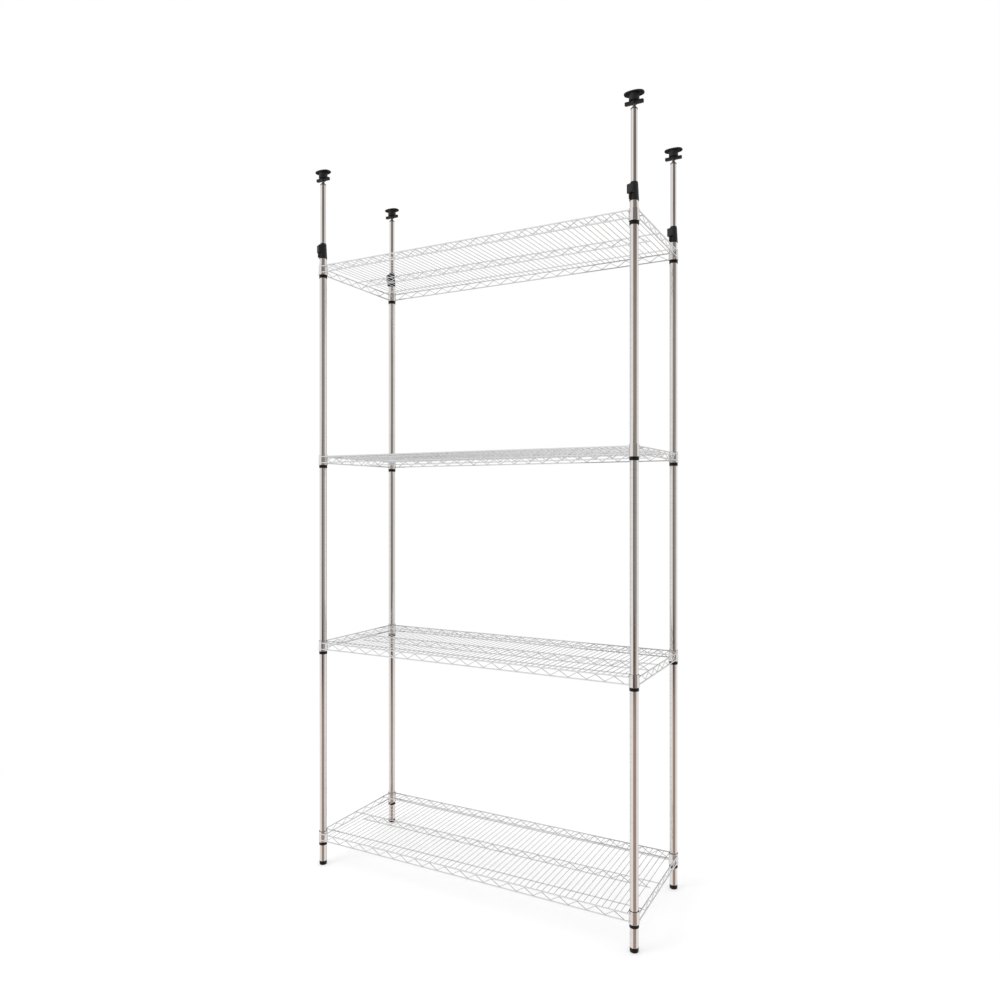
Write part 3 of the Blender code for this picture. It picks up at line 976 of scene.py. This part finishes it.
@dataclass
class SplitSleeve(Fitting):
    """Two tapered half shells round the post that a shelf's collar wedges down on.

    Their tops flare into the collar's countersink and end flush with its rim, as the photo shows no edge above
    the collar at eye height.
    """

    number: int
    bore: float = 12.75 * MM
    foot_radius: float = 14.2 * MM
    top_radius: float = 13.6 * MM
    flare: float = 0.85 * MM
    collar_top: float = 48 * MM
    ease: float = 0.5 * MM
    slit: float = 1.6 * MM

    def build(self) -> None:
        """Make and dress the pair of half shells as one piece."""
        place = f"{self.number}_{self.corner.value}"
        centre = self.at(self.span(f"sleeve_{self.number}")[0])
        outline = eased((
            (self.bore, 0.0),
            (self.foot_radius, 0.0),
            (self.top_radius, self.collar_top - FLARE_SLOPE * self.flare),
            (self.top_radius + self.flare, self.collar_top),
            (self.bore, self.collar_top),
        ), (0.0, self.ease, 0.0, 0.0, 0.0))
        gap = self.slit / (2 * self.foot_radius)
        stock = Stock()
        for start in (0.0, math.pi):
            stock.arc(outline, centre, start + gap, start + math.pi - gap)
        # The half shells take the darker nylon copy, which paints the shade in the ring between collar and post.
        deliver(f"split_taper_{place}", stock.mesh("sleeve"), self.coats.shaded_nylon, "rack", f"sleeve_{place}")


@dataclass
class Post(Fitting):
    """Ring-grooved tube post on its plug foot."""

    radius: float = 12.5 * MM
    bore: float = 11.3 * MM
    groove_pitch: float = 25 * MM
    groove_width: float = 1.4 * MM
    groove_depth: float = 0.4 * MM
    foot_radius: float = 13.0 * MM
    spigot_radius: float = 11.0 * MM
    sole_recess: float = 0.8 * MM
    recess_top: float = 5.5 * MM
    recess_foot: float = 6.3 * MM
    foot_eases: Sizes = mm(0, 0.3, 0.4, 3.2, 0.7, 0, 1.0, 0)

    def build(self) -> None:
        """Make and dress the post and its foot."""
        name = self.corner.value
        deliver(f"grooved_tube_{name}", self.tube(), self.coats.chrome, "rack", f"post_{name}")
        # The foot takes the darker nylon copy, which paints the shade under the post.
        deliver(f"plug_foot_{name}", self.foot(), self.coats.shaded_nylon, "rack", f"foot_{name}")

    def tube(self) -> Mesh:
        """Tube with a ring groove at every pitch."""
        low, length = self.span("post")
        axis = self.at(low)
        pitch = self.groove_pitch
        count = int(length / pitch)
        ends = Stock().turned((
            (self.radius, count * pitch), (self.radius, length), (self.bore, length), (self.bore, 0.0),
            (self.radius, 0.0),
        ), axis, capped=False)
        recipe = NodeRecipe("ring_grooves")
        shape = recipe.add("MeshCylinder", {
            "Vertices": recipe.size("Round Sides", ROUND_SIDES),
            "Side Segments": 5,
            "Radius": recipe.size("Post Radius", self.radius),
            "Depth": recipe.size("Groove Pitch", pitch),
        }, fill_type="NONE")
        position = recipe.add("InputPosition")
        distance = recipe.maths("ABSOLUTE", recipe.add("SeparateXYZ", {"Vector": position}).outputs["Z"])
        floor = 1 - self.groove_depth / self.radius
        # With 5 segments, rows lie at 0.1, 0.3 and 0.5 of the pitch on each side of the groove. The first two
        # move to 0.3 and 0.5 of the groove's width.
        for near, far, label, scale in (
            (0.0, 0.2, "Groove Floor", (floor, floor, 0.3 * self.groove_width / (0.1 * pitch))),
            (0.2, 0.4, "Groove Edge", (1.0, 1.0, 0.5 * self.groove_width / (0.3 * pitch))),
        ):
            after = recipe.maths("GREATER_THAN", distance, near * pitch)
            chosen = recipe.maths("MULTIPLY", after, recipe.maths("LESS_THAN", distance, far * pitch))
            spread = recipe.add("VectorMath", {0: position, 1: recipe.size(label, scale)}, operation="MULTIPLY")
            shape = recipe.add("SetPosition", {"Geometry": shape, "Selection": chosen, "Position": spread})
        ring = recipe.moved(shape, turn=(0.0, 0.0, math.pi / ROUND_SIDES))
        first = (axis.x, axis.y, axis.z + pitch / 2)
        points = recipe.row(recipe.size("Grooves", count), first, (0.0, 0.0, pitch))
        rings = recipe.add("RealizeInstances", {"Geometry": recipe.laid(points, ring)})
        welded = recipe.add("MergeByDistance", {"Geometry": recipe.joined(rings, recipe.base), "Distance": SEAM})
        return recipe.bake(welded, self.coats.chrome, ends.mesh("tube_ends"))

    def foot(self) -> Mesh:
        """Moulded plug with a rounded tread and a shallow recess in its sole."""
        low, height = self.span("foot")
        tread = self.span("post")[0] - low - CLEARANCE
        return lathe("plug_foot", (
            (0.0, self.sole_recess),
            (self.recess_top, self.sole_recess),
            (self.recess_foot, 0.0),
            (self.foot_radius, 0.0),
            (self.foot_radius, tread),
            (self.spigot_radius, tread),
            (self.spigot_radius, height),
            (0.0, height),
        ), self.foot_eases, self.at(low))


@dataclass
class LeverClamp(Fitting):
    """Clamp housing on the post top and the lever that locks the slide tube.

    Both are made about the origin with the lever towards -X, then turned to the front left and put on the post.
    """

    turn: float = 60.0
    post_bore: float = 12.8 * MM
    pole_bore: float = 9.8 * MM
    foot_radius: float = 14.2 * MM
    shoulder_radius: float = 11.6 * MM
    mouth_radius: float = 10.8 * MM
    socket: float = 12 * MM
    shoulder: float = 50 * MM
    shell_eases: Sizes = mm(0.3, 0.7, 2.5, 0.6, 0.3, 0, 0)
    pivot_out: float = 17.175 * MM
    pivot_up: float = 44.8 * MM
    ear_root: float = 5 * MM
    ear_inner: float = 7.7 * MM
    ear_outer: float = 9.7 * MM
    ear_radius: float = 2.73 * MM
    ear_eases: Sizes = mm(0, 1.0, 1.0, 0)
    ear_drop: float = 24.3 * MM
    pin_radius: float = 1.2 * MM
    pin_hole: float = 1.6 * MM
    pin_sides: int = 24
    pin_chamfer: float = 0.3 * MM
    pin_tip: float = 0.8
    lever_half_width: float = 7.4 * MM
    lever_half: float = 2.7 * MM
    lever_drop: float = 42.4 * MM
    crown_step: float = 15.0
    chin_eases: Sizes = mm(0, 1.0, 0.4, 0)
    head_rim: float = 0.5 * MM
    tail_half_width: float = 2.0 * MM
    tail_thickness: float = 5.0 * MM
    tail_inside: float = 0.9
    tail_eases: Sizes = mm(0, 1.2, 0.5, 0)
    rim: float = 0.4 * MM
    rib_count: int = 4
    rib_radius: float = 0.35 * MM
    rib_pitch: float = 1.5 * MM
    rib_reach: float = 1.7
    rib_start: float = 1.5

    def build(self) -> None:
        """Make and dress the housing and the lever."""
        name = self.corner.value
        low, self.height = self.span("clamp")
        self.pivot = Vector((-self.pivot_out, 0, self.pivot_up))
        foot = Matrix.Translation(self.at(low))
        turned = foot @ Matrix.Rotation(math.radians(self.turn), 4, "Z")
        for piece, mesh, body, node in (
            ("clamp_housing", self.housing(), "rack", "clamp"),
            ("locking_lever", self.lever(), f"lever_{name}", "clamp_lever"),
        ):
            mesh.transform(turned)
            deliver(f"{piece}_{name}", mesh, self.coats.nylon, body, f"{node}_{name}")

    def housing(self) -> Mesh:
        """Tapered housing with two ears that flank the lever and hold its pins."""
        shell = lathe("shell", (
            (self.post_bore, 0.0),
            (self.foot_radius, 0.0),
            (self.shoulder_radius, self.shoulder),
            (self.mouth_radius, self.height),
            (self.pole_bore, self.height),
            (self.pole_bore, self.socket),
            (self.post_bore, self.socket),
        ), self.shell_eases, ORIGIN, closed=True)
        front = -self.pivot_out - self.ear_radius
        crown = self.pivot_up + self.ear_radius
        foot = self.pivot_up - self.ear_drop
        outline = eased((
            (-self.ear_root, crown), (front, crown), (front, foot), (-self.ear_root, foot),
        ), self.ear_eases)
        ears = [
            Stock().plate(outline, (side * self.ear_inner, side * self.ear_outer), ORIGIN, self.rim).mesh("ear")
            for side in SIDES
        ]
        hole = self.pins("pin_hole", *((self.pin_hole, 2 * side * self.ear_outer) for side in SIDES))
        bore = lathe("pole_bore", ((self.pole_bore, self.socket), (self.pole_bore, 2 * self.height)), 0.0, ORIGIN)
        return combined("clamp_housing", shell, ears, [hole, bore])

    def pins(self, name: str, *sizes: Point2) -> Mesh:
        """Round form along Y through the pivot.

        Args:
            name: Name of the mesh.
            sizes: Radius and place along Y of each of its rings.

        Returns:
            The mesh.
        """
        turns = [math.tau * step / self.pin_sides for step in range(self.pin_sides)]
        return Stock().rows([
            [self.pivot + Vector((radius * math.cos(turn), y, radius * math.sin(turn))) for turn in turns]
            for radius, y in sizes
        ]).mesh(name)

    def lever(self) -> Mesh:
        """Lever on its pins: a head between the ears and a thinner tail with grip ribs on its tip."""
        half, drop = self.lever_half, self.ear_drop
        turns = [math.radians(self.crown_step * step) for step in range(int(180 / self.crown_step) + 1)]
        crown = [(half * math.cos(turn), half * math.sin(turn)) for turn in turns]
        chin = eased(((-half, -drop / 2), (-half, -drop), (half, -drop), (half, -drop / 2)), self.chin_eases)
        width = [side * self.lever_half_width for side in SIDES]
        head = Stock().plate(crown + chin, width, self.pivot, self.head_rim).mesh("head")
        outer, inner = half - self.tail_thickness, self.tail_inside * half
        root, tip = self.tail_thickness - drop, -self.lever_drop
        outline = eased(((outer, root), (outer, tip), (inner, tip), (inner, root)), self.tail_eases)
        width = [side * self.tail_half_width for side in SIDES]
        tail = Stock().plate(outline, width, self.pivot, self.rim).mesh("tail")
        end = self.ear_outer - self.pin_chamfer
        narrow = self.pin_tip * self.pin_radius
        pins = self.pins(
            "pins", (narrow, -self.ear_outer), (self.pin_radius, -end), (self.pin_radius, end),
            (narrow, self.ear_outer),
        )
        ribs = Ribs(
            "Rib", self.rib_count, self.rib_radius, self.rib_reach * self.tail_half_width,
            (0.0, 0.0, self.rib_pitch),
        )
        first = self.pivot + Vector((outer, 0, self.rib_start * self.rib_pitch - self.lever_drop))
        return ribs.on(combined("lever", head, [tail, pins]), first, self.coats.nylon)


@dataclass
class SlideTube(Fitting):
    """Telescopic pole with its guide bush below and its flanged nut above."""

    radius: float = 9.5 * MM
    bore: float = 8.3 * MM
    rim_ease: float = 0.4 * MM
    bush_radius: float = 11.0 * MM
    bush_eases: Sizes = mm(0, 0.8, 0.5, 0, 0.8, 0)
    spigot_radius: float = 8.0 * MM
    flange_radius: float = 10.5 * MM
    flange_height: float = 3.0 * MM
    neck_foot: float = 7.8 * MM
    neck_top: float = 7.4 * MM
    screw_bore: float = 5.35 * MM
    rim_height: float = 6.0 * MM
    nut_eases: Sizes = mm(0, 0.6, 0, 0.6, 0.9, 0.8, 0.7, 0.3)

    def build(self) -> None:
        """Make and dress the tube, the bush and the nut."""
        name = self.corner.value
        (foot, length), (low, bush), (_, top) = map(self.span, ("pole", "pole_bush", "pole_cap"))
        rim = foot - low - CLEARANCE
        seat = top - self.rim_height
        flange = seat + self.flange_height
        tube_form = (self.bore, 0.0), (self.radius, 0.0), (self.radius, length), (self.bore, length)
        bush_form = (
            (0.0, 0.0), (self.bush_radius, 0.0), (self.bush_radius, rim), (self.spigot_radius, rim),
            (self.spigot_radius, bush), (0.0, bush),
        )
        nut_form = (
            (self.screw_bore, 0.0), (self.spigot_radius, 0.0), (self.spigot_radius, seat),
            (self.flange_radius, seat), (self.flange_radius, flange), (self.neck_foot, flange),
            (self.neck_top, top), (self.screw_bore, top),
        )
        for piece, node, coat, form, eases, hollow in (
            ("slide_tube", "pole", self.coats.chrome, tube_form, self.rim_ease, True),
            ("guide_bush", "pole_bush", self.coats.nylon, bush_form, self.bush_eases, False),
            ("flange_nut", "pole_cap", self.coats.zinc, nut_form, self.nut_eases, True),
        ):
            mesh = lathe(piece, form, eases, self.at(self.span(node)[0]), hollow)
            deliver(f"{piece}_{name}", mesh, coat, f"telescopic_pole_{name}", f"{node}_{name}")


@dataclass
class JackHead(Fitting):
    """Jack screw with its wing handle, and the ceiling pad that it carries."""

    core_radius: float = 4.35 * MM
    crest_radius: float = 5.0 * MM
    core_eases: Sizes = mm(0, 1.0, 0, 0, 1.0, 0)
    shank_taper: float = 0.5 * MM
    thread_pitch: float = 2.0 * MM
    thread_radius: float = 0.62 * MM
    thread_steps: int = 24
    thread_sides: int = 6
    plain_turns: int = 3
    handle_length: float = 57 * MM
    handle_width: float = 10.6 * MM
    handle_round: float = 3.6 * MM
    handle_ease: float = 1.4 * MM
    hub_radius: float = 9.0 * MM
    hub_eases: Sizes = mm(0, 1.2, 1.2, 0)
    grip_bore: float = 5.2 * MM
    pocket_length: float = 13 * MM
    pocket_height: float = 4.8 * MM
    pocket_depth: float = 1.0 * MM
    pocket_round: float = 2.0 * MM
    pocket_rim: float = 0.3 * MM
    pocket_shift: float = 0.5 * MM
    pad_length: float = 60.8 * MM
    pad_width: float = 38.5 * MM
    pad_fullness: float = 2.4
    pad_ease: float = 1.2 * MM
    boss_radius: float = 15.4 * MM
    boss_height: float = 19.8 * MM
    boss_eases: Sizes = mm(0, 1.2, 0, 0)
    boss_bore: float = 5.6 * MM
    socket_depth: float = 8.3 * MM
    tray_rim: float = 1.8 * MM
    tray_draft: float = 0.8 * MM
    tray_depth: float = 2.2 * MM
    overlap: float = 1 * MM
    web: float = 1.5 * MM
    web_foot: float = 0.5 * MM
    cross_web: float = 20 * MM
    cross_share: float = 0.85
    tread_count: int = 12
    tread_radius: float = 0.7 * MM
    tread_rise: float = 0.6
    tread_length: float = 27 * MM
    tread_pitch: float = 3.8 * MM

    def build(self) -> None:
        """Make and dress the screw, the handle and the pad."""
        name = self.corner.value
        for piece, mesh, coat, body, node in (
            ("lead_screw", self.screw(), self.coats.zinc, "jack", "jack_screw"),
            ("turning_wings", self.handle(), self.coats.nylon, "jack", "wing_handle"),
            ("ceiling_shoe", self.pad(), self.coats.nylon, "pad", "ceiling_pad"),
        ):
            deliver(f"{piece}_{name}", mesh, coat, f"{body}_{name}", f"{node}_{name}")

    def screw(self) -> Mesh:
        """Core with a wound thread below the handle and a plain shank through it."""
        low, length = self.span("jack_screw")
        shank = self.span("wing_handle")[0] - low
        core = lathe("screw_core", (
            (0.0, 0.0), (self.core_radius, 0.0), (self.core_radius, shank - self.shank_taper),
            (self.crest_radius, shank), (self.crest_radius, length), (0.0, length),
        ), self.core_eases, self.at(low))
        recipe = NodeRecipe("screw_thread")
        turns = (shank - self.plain_turns * self.thread_pitch) / self.thread_pitch
        track = self.crest_radius - self.thread_radius
        spiral = recipe.add("CurveSpiral", {
            "Resolution": self.thread_steps,
            "Rotations": recipe.size("Turns", float(turns)),
            "Start Radius": recipe.size("Foot Radius", track),
            "End Radius": recipe.size("Top Radius", track),
            "Height": recipe.size("Thread Length", float(turns * self.thread_pitch)),
        })
        profile = recipe.circle(self.thread_sides, recipe.size("Thread Radius", self.thread_radius))
        thread = recipe.moved(recipe.swept(spiral, profile), tuple(self.at(low + self.thread_pitch)))
        return recipe.bake(recipe.joined(recipe.base, thread), self.coats.zinc, core)

    def rimmed(
        self, name: str, outline: Callable[[float], list[Point2]], height: float, ease: float, foot: float,
    ) -> Mesh:
        """Level slab with eased upper and lower rims.

        Args:
            name: Name of the mesh.
            outline: Gives the slab's outline, drawn in by a length.
            height: Overall height.
            ease: Size of the rounding.
            foot: Height of its lower face.

        Returns:
            The slab.
        """
        rims = eased(((0.0, 0.0), (ease, 0.0), (ease, height), (0.0, height)), (0, ease, ease, 0), closed=False)
        return Stock().layered([(outline(ease - out), rise) for out, rise in rims], self.at(foot)).mesh(name)

    def handle_outline(self, inset: float) -> list[Point2]:
        """Outline of the handle, drawn in by a length."""
        return eased(block(self.handle_length - 2 * inset, self.handle_width - 2 * inset), self.handle_round)

    def pad_outline(self, inset: float) -> list[Point2]:
        """Outline of the pad, drawn in by a length."""
        return oval(self.pad_length - 2 * inset, self.pad_width - 2 * inset, self.pad_fullness)

    def handle(self) -> Mesh:
        """Bar with rounded ends, a hub round the screw and a shallow pocket in each flank."""
        low, height = self.span("wing_handle")
        bar = self.rimmed("bar", self.handle_outline, height, self.handle_ease, low)
        radius, bore = self.hub_radius, self.grip_bore
        form = (0.0, 0.0), (radius, 0.0), (radius, height), (0.0, height)
        hub = lathe("hub", form, self.hub_eases, self.at(low))
        hole = lathe("screw_hole", ((bore, -height), (bore, 2 * height)), 0.0, self.at(low))
        x, y = self.pocket_length / 2, self.pocket_height / 2
        outline = eased(((-x, -y), (x, -y), (x, y), (-x, y)), self.pocket_round)
        out = (radius + self.handle_length / 2 - self.handle_width / 4) / 2 + self.pocket_shift
        pockets = []
        for side_x, side_y in QUARTERS:
            middle = self.at(low + height / 2) + Vector((side_x * out, 0, 0))
            flanks = (side_y * (self.handle_width / 2 - self.pocket_depth), side_y * self.handle_width)
            pockets.append(Stock().plate(outline, flanks, middle, self.pocket_rim).mesh("pocket"))
        return combined("wings", bar, [hub], [hole, *pockets])

    def pad(self) -> Mesh:
        """Thin oval pad on its boss, hollow and webbed underneath, with a ribbed face for the ceiling."""
        low, height = self.span("ceiling_pad")
        underside = low + self.boss_height
        face = low + height - self.tread_radius * self.tread_rise
        plate = self.rimmed("plate", self.pad_outline, face - underside, self.pad_ease, underside)
        outer = self.pad_outline(self.tray_rim)
        inner = self.pad_outline(self.tray_rim + self.tray_draft)
        layers = ((outer, -self.tray_depth), (outer, 0.0), (inner, self.tray_depth))
        tray = Stock().layered(layers, self.at(underside)).mesh("tray")
        shell = combined("shell", plate, (), [tray])
        top = self.boss_height + self.tray_depth + self.overlap
        form = (0.0, 0.0), (self.boss_radius, 0.0), (self.boss_radius, top), (0.0, top)
        extras = [lathe("boss", form, self.boss_eases, self.at(low))]
        reach_x = self.pad_length / 2 - self.tray_rim
        reach_y = self.cross_share * (self.pad_width / 2 - self.tray_rim)
        half = self.web / 2
        for half_x, half_y, x in (
            (reach_x, half, 0.0), *((half, reach_y, side * self.cross_web) for side in SIDES),
        ):
            corners = [(x - half_x, -half_y), (x + half_x, -half_y), (x + half_x, half_y), (x - half_x, half_y)]
            layers = ((corners, self.web_foot), (corners, self.tray_depth + self.overlap))
            extras.append(Stock().layered(layers, self.at(underside)).mesh("web"))
        bore = (self.boss_bore, -self.boss_height), (self.boss_bore, self.socket_depth)
        bare = combined("pad", shell, extras, [lathe("socket", bore, 0.0, self.at(low))])
        treads = Ribs(
            "Tread", self.tread_count, self.tread_radius, self.tread_length, (self.tread_pitch, 0.0, 0.0),
        )
        back = Vector(((self.tread_count - 1) * self.tread_pitch / 2, 0, 0))
        return treads.on(bare, self.at(low + height - self.tread_radius) - back, self.coats.nylon)


@dataclass(frozen=True)
class DarkFlag:
    """A dark side of the studio that the chrome mirrors, between two compass directions in degrees.

    Its colour runs from high over the head, through above and along the horizon from its start to its end, to
    below. Under the horizon it ends earlier by the droop, and over the head later by the lead. A dado, where it
    has one, is a darker band near its start, just under the horizon.
    """

    start: float
    end: float
    droop: float = 15.0
    lead: float = 6.0
    high: str = "#857C78"
    above: str = "#9C938E"
    level_start: str = "#3E3A37"
    level_end: str = "#A39C97"
    below: str = "#B1978B"
    dado: str | None = None


@dataclass
class Studio:
    """White studio with dark flags, a pale floor, a soft key light and the photograph's camera.

    The flags fade, and change colour, between sines of the elevation, and along the compass between degrees from
    a flag's start. Each pair goes from none to full.
    """

    eye: Sizes = (1.30145, -2.39222, 1.31286)
    heading: float = 27.9944
    lens: float = 28.044
    sensor: float = 36.0
    floor_reach: float = 20.0
    floor_level: float = -0.2 * MM
    floor_colour: str = "#FEFEFE"
    floor_veil: float = 0.4
    floor_clear: float = 1.0
    floor_fade: float = 2.6
    key_place: Sizes = (-2.2, -3.2, 4.6)
    key_target: Sizes = (0.0, 0.0, 0.9)
    key_size: float = 2.4
    key_power: float = 60.0
    flag_soften: float = 3.0
    horizon_drop: float = 0.05
    upright: Point2 = (0.82, 0.64)
    overhead: Point2 = (0.18, 0.44)
    horizon: Point2 = (0.17, 0.10)
    down: Point2 = (-0.12, -0.30)
    dado_top: Point2 = (-0.09, -0.18)
    dado_foot: Point2 = (-0.27, -0.20)
    level_ramp: Point2 = (8.0, 38.0)
    dado_ramp: Point2 = (62.0, 28.0)
    flags: tuple[DarkFlag, ...] = (DarkFlag(-99.0, -1.0, dado="#59514D"), DarkFlag(80.0, 156.0))

    def build(self) -> None:
        """Set up the world, floor, light, camera and view."""
        self.world()
        self.floor()
        self.key()
        self.camera()
        bpy.context.scene.view_settings.view_transform = "Standard"

    def world(self) -> None:
        """White surroundings; only mirrored rays see the dark flags."""
        world = bpy.data.worlds.new("studio")
        bpy.context.scene.world = world
        world.use_nodes = True
        world.cycles.sampling_method = "NONE"
        tree = world.node_tree
        tree.nodes.clear()
        parts = add(tree, "SeparateXYZ", {"Vector": add(tree, "TexCoord").outputs["Generated"]}).outputs
        height = parts["Z"]
        compass = maths(tree, "DEGREES", maths(tree, "ARCTAN2", parts["Y"], parts["X"]))
        aside = maths(tree, "ABSOLUTE", maths(tree, "ADD", height, self.horizon_drop))
        upright = faded(tree, maths(tree, "ABSOLUTE", height), *self.upright)
        horizon = faded(tree, aside, *self.horizon)
        overhead, down, sunk, raised = (
            faded(tree, height, *span) for span in (self.overhead, self.down, self.dado_top, self.dado_foot)
        )
        soft = self.flag_soften
        room: Any = linear(WHITE)
        for flag in self.flags:
            end = maths(tree, "MULTIPLY_ADD", down, -flag.droop, flag.end)
            end = maths(tree, "MULTIPLY_ADD", overhead, flag.lead, end)
            entered = faded(tree, compass, flag.start - soft, flag.start + soft)
            kept = faded(tree, maths(tree, "SUBTRACT", end, compass), -soft, soft)
            along = faded(tree, compass, *(flag.start + turn for turn in self.level_ramp))
            level = mixed(tree, along, linear(flag.level_start), linear(flag.level_end))
            shade = mixed(tree, overhead, linear(flag.above), linear(flag.high))
            shade = mixed(tree, horizon, shade, level)
            shade = mixed(tree, down, shade, linear(flag.below))
            if flag.dado:
                near = faded(tree, compass, *(flag.start + turn for turn in self.dado_ramp))
                band = maths(tree, "MULTIPLY", maths(tree, "MULTIPLY", sunk, raised), near)
                shade = mixed(tree, band, shade, linear(flag.dado))
            inside = maths(tree, "MULTIPLY", entered, kept)
            room = mixed(tree, maths(tree, "MULTIPLY", inside, upright), room, shade)
        path = add(tree, "LightPath").outputs
        mirrored = maths(tree, "MAXIMUM", path["Is Glossy Ray"], path["Is Transmission Ray"])
        seen = mixed(tree, mirrored, linear(WHITE), room)
        backdrop = add(tree, "Background", {"Color": seen, "Strength": 1.0})
        add(tree, "OutputWorld", {"Surface": backdrop})

    def floor(self) -> None:
        """Pale floor with a veiled shadow near the object, which fades to the white backdrop further out."""
        material = empty_material("pale_studio_floor")
        tree = material.node_tree
        place = add(tree, "TexCoord").outputs["Object"]
        away = add(tree, "VectorMath", {0: place}, operation="LENGTH").outputs["Value"]
        fade = faded(tree, away, self.floor_clear, self.floor_fade, self.floor_veil)
        amount = maths(tree, "MULTIPLY", fade, add(tree, "LightPath").outputs["Is Camera Ray"])
        paint = add(tree, "BsdfDiffuse", {"Color": linear(self.floor_colour)})
        white = add(tree, "Emission", {"Color": linear(WHITE), "Strength": 1.0})
        add(tree, "OutputMaterial", {"Surface": add(tree, "MixShader", {0: amount, 1: paint, 2: white})})
        mesh = bpy.data.meshes.new("studio_floor")
        corners = block(2 * self.floor_reach, 2 * self.floor_reach)
        mesh.from_pydata([(x, y, self.floor_level) for x, y in corners], [], [(0, 1, 2, 3)])
        mesh.materials.append(material)
        floor = holding("studio_floor", mesh)
        floor.visible_glossy = False

    def key(self) -> None:
        """Soft key light from the upper left, left out of the mirror images."""
        data = bpy.data.lights.new("key_light", "AREA")
        data.shape = "DISK"
        data.size = self.key_size
        data.energy = self.key_power
        lamp = holding("key_light", data)
        lamp.location = self.key_place
        aim = Vector(self.key_target) - Vector(self.key_place)
        lamp.rotation_euler = aim.to_track_quat("-Z", "Y").to_euler()
        lamp.visible_glossy = False

    def camera(self) -> None:
        """Level camera at the photograph's place."""
        data = bpy.data.cameras.new("photo_camera")
        data.lens = self.lens
        data.sensor_width = self.sensor
        data.sensor_fit = "HORIZONTAL"
        camera = holding("photo_camera", data)
        camera.location = self.eye
        camera.rotation_euler = (QUARTER_TURN, 0.0, math.radians(self.heading))
        bpy.context.scene.camera = camera


def main() -> None:
    """Build the sub-assemblies in order."""
    logging.basicConfig(level=logging.INFO, format="%(message)s")
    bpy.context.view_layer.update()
    coats = Coats(
        chrome=ChromePlate().coat(),
        wire=ChromePlate("bright_chrome_wire", ("#E1E3E5", "#D5D7D9")).coat(),
        weld=ChromePlate("chromed_weld", ("#C4C3C1", "#B2B1AF"), (0.18, 0.34)).coat(),
        nylon=BlackNylon().coat(),
        # A darker copy of the black nylon with less sheen; it paints the shade on the sleeves and the feet.
        shaded_nylon=BlackNylon("shaded_black_nylon", ("#070707", "#0E0E0E"), specular=0.25).coat(),
        zinc=ZincPlate().coat(),
    )
    Studio().build()
    for number in range(1, 5):
        WireShelf(number, coats).build()
        for corner in Corner:
            SplitSleeve(corner, coats, number).build()
    for corner in Corner:
        Post(corner, coats).build()
        LeverClamp(corner, coats).build()
        SlideTube(corner, coats).build()
        JackHead(corner, coats).build()


if __name__ == "__main__":
    main()
